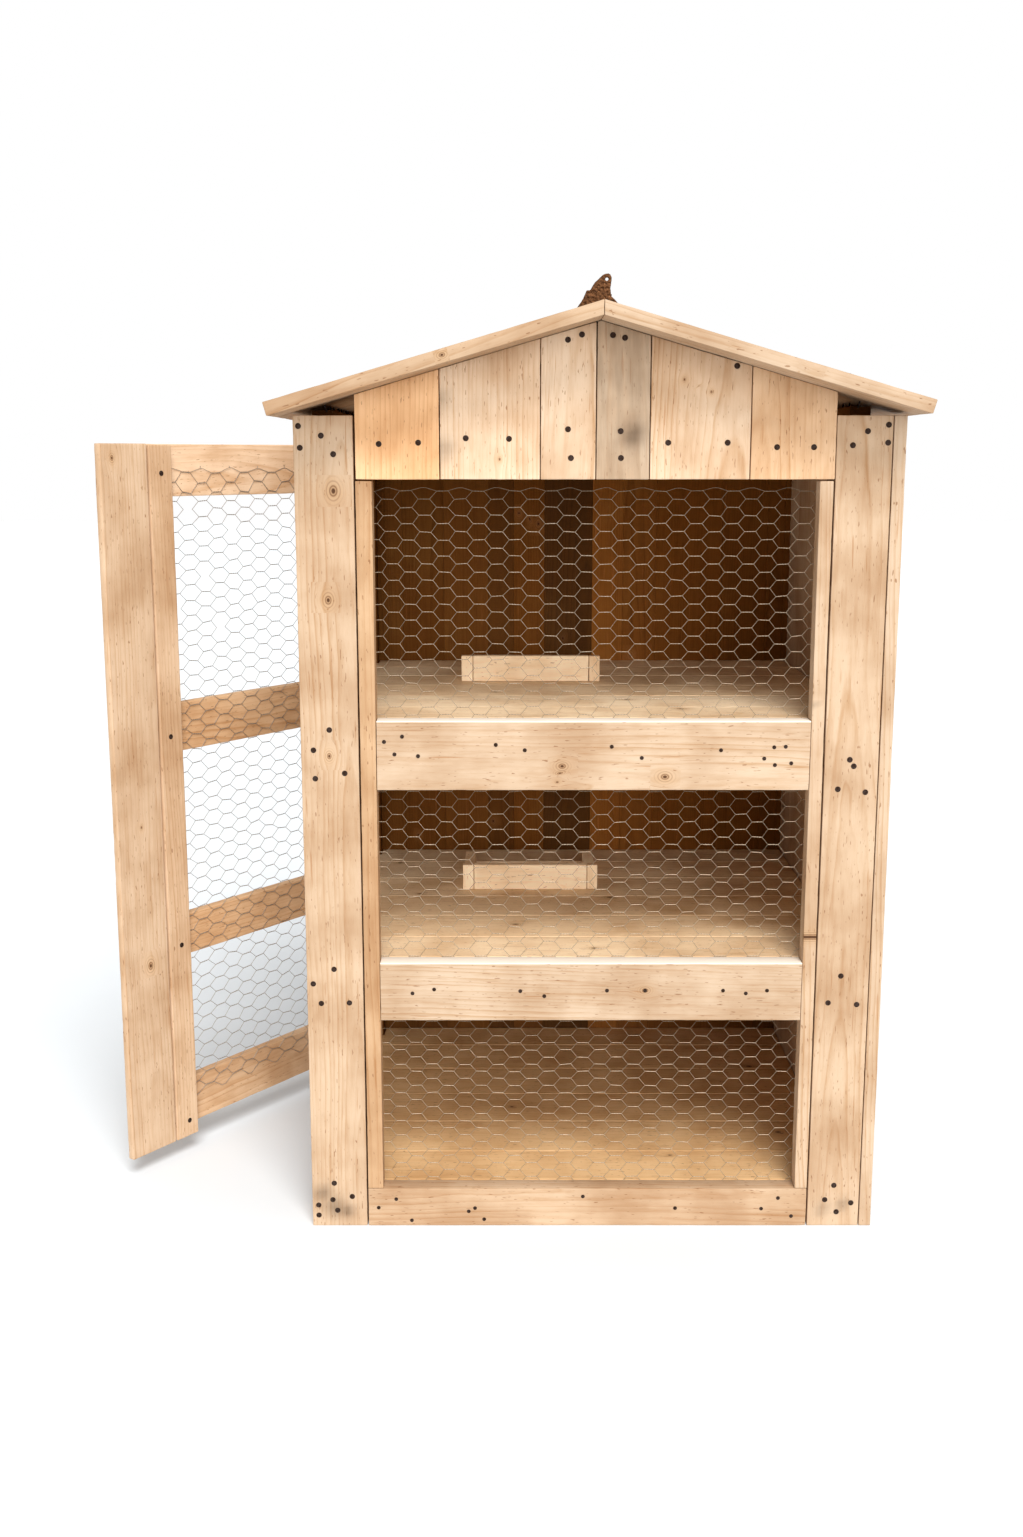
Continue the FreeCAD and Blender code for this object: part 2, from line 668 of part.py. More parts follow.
def hinge_leaf(name, side, level):
    """Half a hinge about the pin: side +1 is the frame's leaf and -1 the door's."""
    third = "( hinge_height - 2 * hinge_knuckle_gap ) / 3"
    bands = {1: [("0", third), (f"hinge_height - {third}", "hinge_height")],
             -1: [(f"{third} + hinge_knuckle_gap", f"2 * {third} + hinge_knuckle_gap")]}[side]
    clear = "hinge_knuckle_radius + hinge_knuckle_relief"
    face = "door_pin_offset"
    skin = "door_pin_offset - hinge_leaf_thick"
    low, high = (clear, "hinge_reach") if side > 0 else ("- hinge_reach", f"- ( {clear} )")
    solids = [box(name + "_plate", skin, low, "0", face, high, "hinge_height")]
    for index, (base, top) in enumerate(bands):
        near, far = ("0", clear) if side > 0 else (f"- ( {clear} )", "0")
        solids.append(box(f"{name}_tab_{index}", skin, near, base, face, far, top))
        knuckle = doc.addObject("Part::Cylinder", f"{name}_knuckle_{index}")
        knuckle.setExpression("Radius", bind("hinge_knuckle_radius"))
        knuckle.setExpression("Height", bind(f"( {top} ) - ( {base} )"))
        knuckle.setExpression("Placement.Base.z", bind(base))
        solids.append(knuckle)
    body = doc.addObject("Part::MultiFuse", name + "_fused")
    body.Shapes = solids
    bore = doc.addObject("Part::Cylinder", name + "_bore")
    bore.setExpression("Radius", bind("hinge_pin_radius + hinge_clearance"))
    bore.setExpression("Height", bind("hinge_height"))
    holes = [bore]
    for index, height in enumerate(LEAF_SCREWS):
        hole = doc.addObject("Part::Cylinder", f"{name}_hole_{index}")
        hole.setExpression("Radius", bind("screw_radius + screw_hole_gap"))
        hole.setExpression("Height", bind("2 * hinge_leaf_thick"))
        where = "hinge_reach - leaf_screw_inset" if side > 0 else "leaf_screw_inset - hinge_reach"
        hole.setExpression("Placement", bind(
            f"placement(vector(door_pin_offset - 1.5 * hinge_leaf_thick; {where}; {height}); "
            "rotation(vector(0; 1; 0); 90))"))
        holes.append(hole)
    tools = doc.addObject("Part::Compound", name + "_holes")
    tools.Links = holes
    leaf = cut(name, body, tools)
    turn = "0" if side > 0 else "door_open_angle"
    leaf.setExpression("Placement", bind(
        f"placement(vector({PIN_X}; {PIN_Y}; {level}); rotation(vector(0; 0; -1); {turn}))"))
    return leaf


def screw(length):
    """A round-headed screw that points along +X, with its head's underside at the origin."""
    shank = Part.makeCylinder(value("screw_radius"), length, Vector(0, 0, 0), Vector(1, 0, 0))
    head = Part.makeCylinder(value("screw_head_radius"), value("screw_head_thick"),
                             Vector(0, 0, 0), Vector(-1, 0, 0))
    return shank.fuse(head)


def make_hinges():
    """Three butt hinges on the outside, their pins and their screws."""
    for side, label in ((1, "hinge_frame_leaves"), (-1, "hinge_door_leaves")):
        group(label, [hinge_leaf(f"{label}_{index}", side, level)
                      for index, level in enumerate(HINGE_LEVELS)])
    pins = []
    for index, level in enumerate(HINGE_LEVELS):
        pin = doc.addObject("Part::Cylinder", f"hinge_pin_{index}")
        pin.setExpression("Radius", bind("hinge_pin_radius"))
        pin.setExpression("Height", bind("hinge_height + 2 * hinge_pin_proud"))
        pin.setExpression("Placement.Base.x", bind(PIN_X))
        pin.setExpression("Placement.Base.y", bind(PIN_Y))
        pin.setExpression("Placement.Base.z", bind(f"{level} - hinge_pin_proud"))
        pins.append(pin)
    group("hinge_pins", pins)
    fixed = Placement(Vector(value(PIN_X), value(PIN_Y), 0), Rotation())
    for side, label, seat in ((1, "hinge_frame_screws", fixed),
                              (-1, "hinge_door_screws", door_swing())):
        screws = []
        for level in HINGE_LEVELS:
            for height in LEAF_SCREWS:
                piece = screw(value("screw_length"))
                piece.translate(Vector(value("door_pin_offset - hinge_leaf_thick"),
                                       side * value("hinge_reach - leaf_screw_inset"),
                                       float(level) + height))
                screws.append(piece.transformGeometry(seat.toMatrix()))
        fastener_node(label, screws)


def fastener_node(label, solids):
    """Identical fasteners kept together as separate solids."""
    piece = doc.addObject("Part::Feature", label + "_set")
    piece.Shape = Part.makeCompound(solids)
    finish(piece, label)


def make_buttons():
    """Two wooden turn buttons on the door's outer side, which turn over the frame to hold it."""
    screws = []
    outer = f"{SKIN_OUT} - button_clearance - button_thick"
    along = f"{FREE_EDGE} + button_inset"
    side = "button_width / 2"
    chamfer = "button_width / 4"
    tip = "button_reach"
    outline = [(f"- {side}", f"{chamfer} - {tip}"), (f"{chamfer} - {side}", f"- {tip}"),
               (f"{side} - {chamfer}", f"- {tip}"), (side, f"{chamfer} - {tip}"),
               (side, f"button_heel - {chamfer}"), (f"{side} - {chamfer}", "button_heel"),
               (f"{chamfer} - {side}", "button_heel"), (f"- {side}", f"button_heel - {chamfer}")]
    for level in ("lower", "upper"):
        height = f"{level}_button_level"
        blank = profile_body(f"{level}_button_blank", "YZ_Plane", outline, "button_thick",
                             f"{swung()} * {moved(outer, along, height)}")
        bore = doc.addObject("Part::Cylinder", f"{level}_button_bore")
        bore.setExpression("Radius", bind("screw_radius + hinge_clearance"))
        bore.setExpression("Height", bind("button_thick"))
        bore.setExpression("Placement", bind(
            f"{swung()} * placement(vector({outer}; {along}; {height}); "
            "rotation(vector(0; 1; 0); 90))"))
        finish(cut(f"turn_button_{level}", blank, bore), f"turn_button_{level}")
        piece = screw(value("button_thick + screw_length"))
        piece.translate(Vector(value(f"{outer} - button_screw_gap"), value(along), value(height)))
        screws.append(piece.transformGeometry(door_swing().toMatrix()))
    fastener_node("turn_button_screws", screws)


# ---------------------------------------------------------------- nails and staples
FRONT_NAILS = {
    "left board": [(-481, 1375), (-445, 1360), (-479, 1341), (-426, 1331), (-442, 884),
                   (-469, 850), (-418, 811), (-467, 802), (-443, 471), (-479, 445),
                   (-466, 410), (-418, 411), (-451, 80), (-420, 55), (-454, 49),
                   (-479, 39), (-446, 29), (-479, 20)],
    "right board": [(460, 1377), (427, 1367), (460, 1349), (404, 1345), (420, 834),
                    (427, 823), (402, 784), (448, 779), (420, 459), (400, 411), (449, 408),
                    (423, 76), (408, 49), (454, 43), (429, 26)],
    "gable": [(-353, 1347), (-290, 1349), (-214, 1356), (-145, 1355), (-51, 1370),
              (-46, 1325), (33, 1367), (34, 1325), (109, 1349), (204, 1349), (283, 1342),
              (342, 1342)],
    "upper fascia": [(-322, 873), (-352, 864), (-335, 843), (-296, 840), (-167, 859),
                     (-119, 850), (25, 856), (75, 837), (206, 850), (294, 855), (313, 856),
                     (278, 836), (296, 825), (323, 828)],
    "lower fascia": [(-310, 428), (-273, 435), (-126, 432), (-85, 423), (22, 433), (87, 433),
                     (220, 433), (259, 428), (295, 433)],
    "bottom rail": [(-343, 50), (-374, 34), (-205, 33), (-216, 27), (-316, 10), (-189, 12),
                    (-16, 55), (146, 33), (326, 52), (297, 32), (350, 18)],
}
SMALL_HEADED = ("upper fascia", "lower fascia", "bottom rail")
ROOF_RIDGE_NAIL = 12
ROOF_WALL_NAIL = 330
RIGHT_NAIL_ROWS = (-378, -350, 330, 378)
BACK_NAIL_LEVELS = (438, 855, 1345)
DOOR_NAIL_PAIRS = (74, 118, 414, 448, 806, 856, 1276, 1328)
DOOR_STILE_NAILS = (66, 420, 821, 1298)
# Distances from the door's free edge of the nails in the inner stile and in the leading board.
STILE_NAIL_COLUMN = 137
LEAD_NAIL_COLUMNS = (40, 88)
GABLE_BRADS = [(-52, 1508), (-30, 1516), (19, 1515), (38, 1511), (216, 1468)]


def nail(place, inward, length="nail_length", head_radius="nail_head_radius"):
    """A nail whose head lies just in the face at a point, driven along a direction."""
    start = Vector(*place)
    along = Vector(*inward)
    shank = Part.makeCylinder(value("nail_radius"), value(length), start, along)
    head = Part.makeCylinder(value(head_radius), value("nail_head_thick"), start, along)
    return shank.fuse(head)


def roof_nails():
    """Nails through the roof boards into the ridge beam, the eave rails and the end walls."""
    pitch = value("roof_pitch")
    lean = math.hypot(1, pitch)
    inset = value("roof_nail_inset")
    edges = [value(edge) for edge in spread(f"{FRONT} - roof_overhang",
                                            f"{REAR} + roof_overhang", 8)]
    wall_row = value("roof_wall_nail_inset")
    rows = [(edges[1] - wall_row, ROOF_WALL_NAIL), (edges[-2] + wall_row, ROOF_WALL_NAIL)]
    for low, high in zip(edges[1:-2], edges[2:-1]):
        rows.extend([(low + inset, 0), (high - inset, 0)])
    nails = []
    for sign, eave in ((-1, 450), (1, 430)):
        for y, wall in rows:
            for x in (ROOF_RIDGE_NAIL, wall or eave):
                z = value("roof_apex + roof_rise + nail_proud") - pitch * x
                nails.append(nail((sign * x, y, z), (-sign * pitch / lean, 0, -1 / lean)))
    return nails


def body_nails():
    """Nails of the fixed frame: the front, the roof, the right wall and the back."""
    nails = roof_nails()
    front = value(f"{FRONT} - nail_proud")
    for where, places in FRONT_NAILS.items():
        head = "brad_head_radius" if where in SMALL_HEADED else "nail_head_radius"
        nails.extend(nail((x, front, z), (0, 1, 0), head_radius=head) for x, z in places)
    nails.extend(nail((x, front, z), (0, 1, 0), "brad_length") for x, z in GABLE_BRADS)
    for y in RIGHT_NAIL_ROWS:
        for z in (97, 431, 832, 1303):
            nails.append(nail((value(f"{RIGHT} + nail_proud"), y, z), (-1, 0, 0)))
    for x in range(-450, 451, 75):
        for z in BACK_NAIL_LEVELS:
            nails.append(nail((x, value(f"{REAR} + nail_proud"), z), (0, -1, 0)))
    return nails


def door_nails():
    """Nails through the stiles from the inside, and through the rails from the outside."""
    hinge_column = value(f"{HINGE_EDGE} - door_stile_width + hinge_nail_inset")
    places = [(hinge_column, z, -1) for z in DOOR_NAIL_PAIRS]
    places.extend((value(FREE_EDGE) + STILE_NAIL_COLUMN, z, -1) for z in DOOR_STILE_NAILS)
    for start, column in enumerate(LEAD_NAIL_COLUMNS):
        places.extend((value(FREE_EDGE) + column, z, 1) for z in DOOR_NAIL_PAIRS[start::2])
    faces = {-1: value(f"{SKIN_IN} + nail_proud"), 1: value(f"{SKIN_OUT} - nail_proud")}
    nails = []
    for step, (along, z, inward) in enumerate(places):
        shift = 4 * math.sin(1.7 * step)
        piece = nail((faces[inward], along + shift, z), (inward, 0, 0))
        nails.append(piece.transformGeometry(door_swing().toMatrix()))
    return nails


def staple(x, y, z, flat):
    """A wire staple over the netting, its crown level or upright, driven towards the front."""
    wire = value("staple_wire")
    span = value("staple_span")
    depth = value("staple_depth")
    across, up = (span, wire) if flat else (wire, span)
    crown = Part.makeBox(across, wire, up, Vector(x - across / 2, y, z - up / 2))
    legs = []
    for sign in (-1, 1):
        shift = sign * (span - wire) / 2
        dx, dz = (shift, 0) if flat else (0, shift)
        corner = Vector(x + dx - wire / 2, y - depth, z + dz - wire / 2)
        legs.append(Part.makeBox(wire, depth, wire, corner))
    return crown.fuse(legs)


def netting_staples():
    """Staples behind the front frame, along the strips, the bottom rail and the fascias."""
    y = value(NET_FACE) + value("netting_thick")
    staples = []
    for x in (value(STRIP_LEFT) + 12, value(STRIP_RIGHT) - 10):
        for step in range(12):
            staples.append(staple(x, y, 110 + step * 102, False))
    for z in (40, 395, 800):
        for step in range(8):
            staples.append(staple(step * 90 - 315, y, z, True))
    return staples


def make_fasteners():
    """The nails and staples, each kind as one group."""
    fastener_node("body_nails", body_nails())
    fastener_node("door_nails", door_nails())
    fastener_node("netting_staples", netting_staples())


make_front()
make_posts()
make_gable()
make_left_side()
make_right_side()
make_back_wall()
make_floors()
make_roof()
make_finial()
make_door()
make_netting()
make_hinges()
make_buttons()
make_fasteners()
doc.recompute()

# ---------------------------------------------------------------- checks and export
for item in doc.Objects:
    if "Invalid" in item.State or "Error" in item.State:
        raise RuntimeError(f"{item.Label}: {item.State}")
for piece in finished:
    if piece.Shape.isNull() or not piece.Shape.isValid():
        raise RuntimeError(f"{piece.Label}: bad shape")
for piece in finished:
    piece.Shape.exportStep(f"parts/{piece.Label}.step")
    print(piece.Label, len(piece.Shape.Solids), round(piece.Shape.Volume / 1000), "cm3")
print(len(finished), "sub-parts")
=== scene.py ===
import json
import math
import random
import zlib

import bmesh
import bpy
import numpy as np
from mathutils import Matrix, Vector, noise

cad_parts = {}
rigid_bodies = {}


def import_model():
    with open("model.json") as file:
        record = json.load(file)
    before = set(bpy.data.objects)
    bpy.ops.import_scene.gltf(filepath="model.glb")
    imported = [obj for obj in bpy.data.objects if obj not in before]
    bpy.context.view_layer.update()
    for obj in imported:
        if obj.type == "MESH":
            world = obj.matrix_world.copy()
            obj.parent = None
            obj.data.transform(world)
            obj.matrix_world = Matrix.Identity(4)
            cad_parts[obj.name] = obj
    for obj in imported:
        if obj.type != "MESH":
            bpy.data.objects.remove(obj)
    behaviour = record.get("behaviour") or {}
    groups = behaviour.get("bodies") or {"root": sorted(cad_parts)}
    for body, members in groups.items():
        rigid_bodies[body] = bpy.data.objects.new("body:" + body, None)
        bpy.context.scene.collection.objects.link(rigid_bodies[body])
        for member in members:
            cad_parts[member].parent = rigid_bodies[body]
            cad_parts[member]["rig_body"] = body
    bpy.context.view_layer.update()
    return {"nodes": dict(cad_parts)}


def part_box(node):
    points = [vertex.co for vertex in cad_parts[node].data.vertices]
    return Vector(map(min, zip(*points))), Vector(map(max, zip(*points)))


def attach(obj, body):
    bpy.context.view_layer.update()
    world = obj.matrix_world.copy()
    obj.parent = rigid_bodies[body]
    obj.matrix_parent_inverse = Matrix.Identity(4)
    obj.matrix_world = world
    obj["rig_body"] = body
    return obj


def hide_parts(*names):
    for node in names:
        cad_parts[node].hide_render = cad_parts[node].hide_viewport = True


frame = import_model()

# ---------------------------------------------------------------- sizes, in metres

WELD = 1e-5                 # vertices this close are one corner of a CAD solid
FINE_STEP = 0.010           # spacing of the grid lines on a front board
PLAIN_STEP = 0.022          # and on any other board
SUPPORT = 0.0035            # distance of the first grid line from a board's edge
ARRIS = 0.0014              # rounding of a planed board's edge
ARRIS_STEPS = 2
EDGE_WEAR = 0.0007          # depth of the nicks in an edge
UNEVENNESS = 0.0005         # depth of the hollows in a face
SEAM_CLOSING = 0.00024      # a snug board reaches this much nearer to its neighbour on each side
FAR_AWAY = 1.0              # an offset that reaches no knot
KNOT_HOLD = 0.03            # past this, an offset grows fast, so that two knots' cells don't blend
KNOT_GROWTH = 60
BACK_SKIN = (0.398, 0.404)  # the back boards turn from painted shade to plain pine between these Ys

FRONT_WIRE = 0.0004         # radius of the front netting's wire
DOOR_WIRE = 0.0005
WIRE_SIDES = 5
TWIST_TURNS = 2
TWIST_STEPS = 10

EYE = (-0.141, -2.998, 1.327)
EYE_PITCH = 78.9            # degrees from looking straight down
LENS = 37.22                # millimetres, like the sensor's height
SENSOR = 36.0
FLOOR_HALF = 30.0
SUN_SPREAD = 30             # degrees
KEY_STRENGTH = 2.85
FILL_STRENGTH = 1.25
SURROUND = 0.58


def seed_of(name, number):
    """A number that is always the same for one board."""
    return zlib.crc32(f"{name}/{number}".encode())


# ---------------------------------------------------------------- node graphs

class Graph:
    """A material's node tree, built by short calls that return output sockets."""

    def __init__(self, name):
        self.material = bpy.data.materials.new(name)
        self.material.use_nodes = True
        self.tree = self.material.node_tree
        self.shader = self.tree.nodes["Principled BSDF"]

    def node(self, kind, **settings):
        made = self.tree.nodes.new(kind)
        for key, value in settings.items():
            setattr(made, key, value)
        return made

    def feed(self, socket, value):
        if isinstance(value, bpy.types.NodeSocket):
            self.tree.links.new(value, socket)
        else:
            socket.default_value = value

    def attribute(self, name, output="Vector"):
        return self.node("ShaderNodeAttribute", attribute_name=name).outputs[output]

    def split(self, vector):
        made = self.node("ShaderNodeSeparateXYZ")
        self.feed(made.inputs[0], vector)
        return made.outputs

    def join(self, x, y, z):
        made = self.node("ShaderNodeCombineXYZ")
        for socket, value in zip(made.inputs, (x, y, z)):
            self.feed(socket, value)
        return made.outputs[0]

    def stretched(self, place, scales):
        """A place with each of its parts multiplied by a scale of its own."""
        return self.join(*[self.times(part, scale) for part, scale in zip(place, scales)])

    def math(self, operation, a, b=0.0, clamp=False):
        made = self.node("ShaderNodeMath", operation=operation, use_clamp=clamp)
        for socket, value in zip(made.inputs, (a, b)):
            self.feed(socket, value)
        return made.outputs[0]

    def plus(self, a, b, clamp=False):
        return self.math("ADD", a, b, clamp=clamp)

    def times(self, a, b, clamp=False):
        return self.math("MULTIPLY", a, b, clamp=clamp)

    def length(self, x, y):
        return self.math("SQRT", self.plus(self.times(x, x), self.times(y, y)))

    def bell(self, value, width):
        """1 at 0, falling to nothing a few widths away."""
        share = self.math("DIVIDE", value, width)
        return self.math("EXPONENT", self.times(self.times(share, share), -1.0))

    def fade(self, value, start, end, low=0.0, high=1.0):
        """Goes smoothly from low at start to high at end."""
        made = self.node("ShaderNodeMapRange", interpolation_type="SMOOTHSTEP")
        for socket, number in zip(made.inputs, (value, start, end, low, high)):
            self.feed(socket, number)
        return made.outputs[0]

    def noise(self, vector, scale=1.0, detail=2.0, roughness=0.5):
        made = self.node("ShaderNodeTexNoise")
        self.feed(made.inputs["Vector"], vector)
        self.feed(made.inputs["Scale"], scale)
        self.feed(made.inputs["Detail"], detail)
        self.feed(made.inputs["Roughness"], roughness)
        return made.outputs["Fac"]

    def ramp(self, value, stops):
        """Greys between stops of (place, grey)."""
        made = self.node("ShaderNodeValToRGB")
        elements = made.color_ramp.elements
        while len(elements) < len(stops):
            elements.new(0.5)
        for element, (place, grey) in zip(elements, stops):
            element.position = place
            element.color = (grey, grey, grey, 1)
        self.feed(made.inputs[0], value)
        return made.outputs[0]

    def mix(self, share, a, b, blend="MIX"):
        made = self.node("ShaderNodeMix", data_type="RGBA", blend_type=blend)
        self.feed(made.inputs["Factor"], share)
        for socket, value in ((made.inputs[6], a), (made.inputs[7], b)):
            self.feed(socket, (*value, 1) if isinstance(value, tuple) else value)
        return made.outputs[2]

    def tint(self, colour, by):
        return self.mix(1.0, colour, by, "MULTIPLY")

    def bump(self, height, strength, distance):
        made = self.node("ShaderNodeBump")
        self.feed(made.inputs["Height"], height)
        self.feed(made.inputs["Strength"], strength)
        self.feed(made.inputs["Distance"], distance)
        self.feed(self.shader.inputs["Normal"], made.outputs[0])

    def set(self, **values):
        for key, value in values.items():
            socket = self.shader.inputs[key.replace("_", " ")]
            self.feed(socket, (*value, 1) if isinstance(value, tuple) else value)


# ---------------------------------------------------------------- materials

RING = [(0.0, 0.0), (0.50, 0.10), (0.78, 0.45), (0.91, 1.0), (1.0, 0.0)]    # late wood across one ring


def wood_material(name, pale, late, spacing, ring_depth, rough_sawn, shine, edge_darkness, outer_face=False):
    """Softwood that reads a board's own attributes, which carve_boards() writes.

    grain is (along, across, through) from the pith, knot is (along, across, radius) from
    the nearest knot, darkening is how much darker a place is, tone_and_light is (shade, grey,
    warmth), whose shade holds painted light on some boards. spacing is the width of a ring,
    and outer_face makes whatever lies past BACK_SKIN plain pine instead of painted shade.
    """
    g = Graph(name)
    along, across, through = g.split(g.attribute("grain"))
    knot_along, knot_across, knot_size = g.split(g.attribute("knot"))
    shade, grey, warmth = g.split(g.attribute("tone_and_light"))
    end = g.attribute("end", "Fac")
    edge = g.attribute("edge", "Fac")
    darkening = g.attribute("darkening", "Fac")

    # Rings part round a knot, and close again further along.
    knot_reach = g.math("DIVIDE", g.length(g.times(knot_along, 0.72), knot_across), knot_size)
    parting = g.times(g.bell(knot_reach, 2.6), 0.86)
    bent = g.math("SUBTRACT", across, g.times(knot_across, parting))
    grown = along, bent, through
    wander = g.noise(g.stretched(grown, (2.2, 9.0, 9.0)), 1.0, 3.0)
    radius = g.plus(g.length(bent, through), g.times(wander, 0.024))
    uneven = g.noise(g.join(radius, 0.0, 0.0), 55.0, 1.0)
    ring = g.plus(g.math("DIVIDE", radius, spacing), g.times(uneven, 2.4))
    fibre_place = g.stretched(grown, (6.0, 60.0, 60.0))
    strength = g.fade(g.noise(fibre_place, 0.35, 2.0), 0.3, 0.7, 0.22, 1.0)
    late_wood = g.times(g.ramp(g.math("FRACT", ring), RING), strength)

    fibre = g.noise(fibre_place, 9.0, 4.0, 0.65)
    streak = g.noise(fibre_place, 1.6, 3.0, 0.6)
    blotch = g.noise(g.join(along, across, through), 7.0, 3.0, 0.55)

    share = g.times(late_wood, ring_depth)
    share = g.plus(share, g.times(g.fade(streak, 0.42, 0.78), 0.34))
    share = g.plus(share, g.times(g.fade(fibre, 0.48, 0.80), 0.22), clamp=True)
    colour = g.mix(share, pale, late)
    colour = g.mix(g.times(g.fade(blotch, 0.35, 0.75), 0.30), colour, g.tint(colour, (0.90, 0.78, 0.62)))
    colour = g.mix(warmth, colour, g.tint(colour, (0.93, 0.74, 0.52)))

    # The sawn wood's dark colour is painted shade of the hutch's inside; the back boards' outer faces turn
    # to plain pine.
    depth = g.split(g.node("ShaderNodeTexCoord").outputs["Object"])[1]
    outside = g.fade(depth, *BACK_SKIN, 0.0, 1.0 if outer_face else 0.0)
    colour = g.mix(outside, colour, g.tint(colour, (2.2, 3.1, 7.5)))

    # Resin streaks and short drying cracks, thin and along the grain.
    resin = g.fade(g.noise(g.stretched(grown, (9.0, 260.0, 120.0)), 1.0, 1.0), 0.70, 0.76)
    fleck = g.fade(g.noise(g.stretched(grown, (75.0, 400.0, 300.0)), 1.0, 1.0), 0.69, 0.74)
    colour = g.mix(g.times(resin, 0.55), colour, (0.42, 0.20, 0.075))
    colour = g.mix(g.times(fleck, 0.75), colour, (0.27, 0.125, 0.050))

    # Weathered wood loses its warmth unevenly, in streaks.
    weather = g.fade(g.plus(streak, g.times(blotch, 0.6)), 0.45, 1.05, 0.35, 1.2)
    colour = g.mix(g.times(grey, weather, clamp=True), colour, (0.33, 0.27, 0.20))

    # Knots: a small dark heart in pale wood, ringed by thin dark lines, with a warm halo.
    colour = g.mix(g.times(g.bell(knot_reach, 1.7), 0.38), colour, (0.60, 0.36, 0.17))
    colour = g.mix(g.fade(knot_reach, 0.80, 0.45, 0.0, 0.65), colour, (0.42, 0.25, 0.13))
    ripple = g.plus(g.times(knot_reach, 13.0), g.times(streak, 3.0))
    rim = g.math("POWER", g.fade(g.math("SINE", ripple), -1.0, 1.0), 4.0)
    rim = g.times(rim, g.bell(knot_reach, 1.05))
    colour = g.mix(g.times(rim, 0.80), colour, (0.17, 0.080, 0.034))
    colour = g.mix(g.fade(knot_reach, 0.34, 0.20), colour, (0.11, 0.048, 0.020))

    dark_patch = g.times(darkening, g.fade(blotch, 0.3, 0.7, 0.35, 1.0), clamp=True)
    colour = g.mix(dark_patch, colour, (0.13, 0.088, 0.055))

    # Sawn ends soak up dirt, edges are darker, and an edge of -1 gets a pale painted highlight.
    pores = g.noise(g.join(across, through, along), 900.0, 2.0)
    soaked = g.times(end, g.fade(pores, 0.3, 0.7, 0.25, 0.6))
    colour = g.mix(soaked, colour, g.tint(colour, (0.62, 0.47, 0.34)))
    darker_edge = g.times(edge, g.fade(blotch, 0.3, 0.8, edge_darkness, 0.5 + edge_darkness), clamp=True)
    colour = g.mix(darker_edge, colour, g.tint(colour, (0.50, 0.36, 0.24)))
    # Painted highlight: a pale line along the top edge of the shelf fascias.
    colour = g.mix(g.fade(edge, 0.0, -1.0, 0.0, 0.85), colour, (0.93, 0.84, 0.72))

    bright = g.plus(g.times(shade, g.fade(outside, 0.0, 1.0, 1.0, 0.12)), 1.0)
    colour = g.tint(colour, g.join(bright, bright, bright))

    saw = g.noise(g.stretched((along, across, through), (330.0, 22.0, 1.0)), 1.0, 2.0)
    height = g.plus(g.times(late_wood, 0.30), g.times(fibre, 0.55))
    height = g.plus(height, g.times(saw, rough_sawn))
    height = g.math("SUBTRACT", height, g.times(resin, 0.6))
    height = g.math("SUBTRACT", height, g.times(rim, 0.7))
    g.bump(height, 0.55, 0.0006)
    g.set(Base_Color=colour, Roughness=g.fade(fibre, 0.3, 0.8, 0.56, 0.78))
    g.shader.inputs["Specular IOR Level"].default_value = shine
    return g.material


def metal_material(name, bright, dark, rust, rust_share, roughness):
    """Metal with dull patches and rust that follows no board."""
    g = Graph(name)
    place = g.node("ShaderNodeTexCoord").outputs["Object"]
    patch = g.noise(place, 260.0, 4.0, 0.6)
    fine = g.noise(place, 1400.0, 3.0, 0.6)
    ragged = g.plus(patch, g.times(g.math("SUBTRACT", fine, 0.5), 0.35))
    eaten = g.fade(ragged, 0.78 - rust_share * 0.6, 0.90 - rust_share * 0.6)
    colour = g.mix(g.fade(patch, 0.3, 0.7), bright, dark)
    oxide = g.mix(g.fade(fine, 0.35, 0.65), rust, tuple(channel * 0.35 for channel in rust))
    colour = g.mix(eaten, colour, oxide)
    g.set(Base_Color=colour, Metallic=g.fade(eaten, 0.0, 1.0, 0.92, 0.05),
          Roughness=g.fade(eaten, 0.0, 1.0, roughness, 0.82))
    g.bump(g.plus(g.times(fine, 0.5), eaten), 0.45, 0.0003)
    return g.material


def floor_material():
    g = Graph("studio_floor")
    place = g.node("ShaderNodeTexCoord").outputs["Object"]
    mottle = g.fade(g.noise(place, 3.0, 2.0), 0.3, 0.7)
    g.set(Base_Color=g.mix(mottle, (0.77, 0.80, 0.82), (0.78, 0.81, 0.83)), Roughness=0.9)
    g.shader.inputs["Specular IOR Level"].default_value = 0.1
    return g.material


PLANED = wood_material("planed_pine", (0.630, 0.478, 0.340), (0.44, 0.250, 0.115), spacing=0.0080,
                       ring_depth=0.66, rough_sawn=0.10, shine=0.18, edge_darkness=0.05)
# Pine for the floor, shelves and hatch curbs, much paler than the planed pine: the extra paleness is
# painted light in the tiers.
LIT_SHELF = wood_material("shelf_pine_painted_light", (0.97, 0.79, 0.56), (0.80, 0.55, 0.30), spacing=0.0060,
                      ring_depth=0.55, rough_sawn=0.30, shine=0.05, edge_darkness=0.05)
# Sawn pine for the inner frame and back wall: its dark colour is painted shade of the hutch's inside.
SHADED_SAWN = wood_material("sawn_pine_painted_shade", (0.27, 0.135, 0.034), (0.15, 0.066, 0.013), spacing=0.0055,
                     ring_depth=0.60, rough_sawn=0.60, shine=0.04, edge_darkness=0.90, outer_face=True)
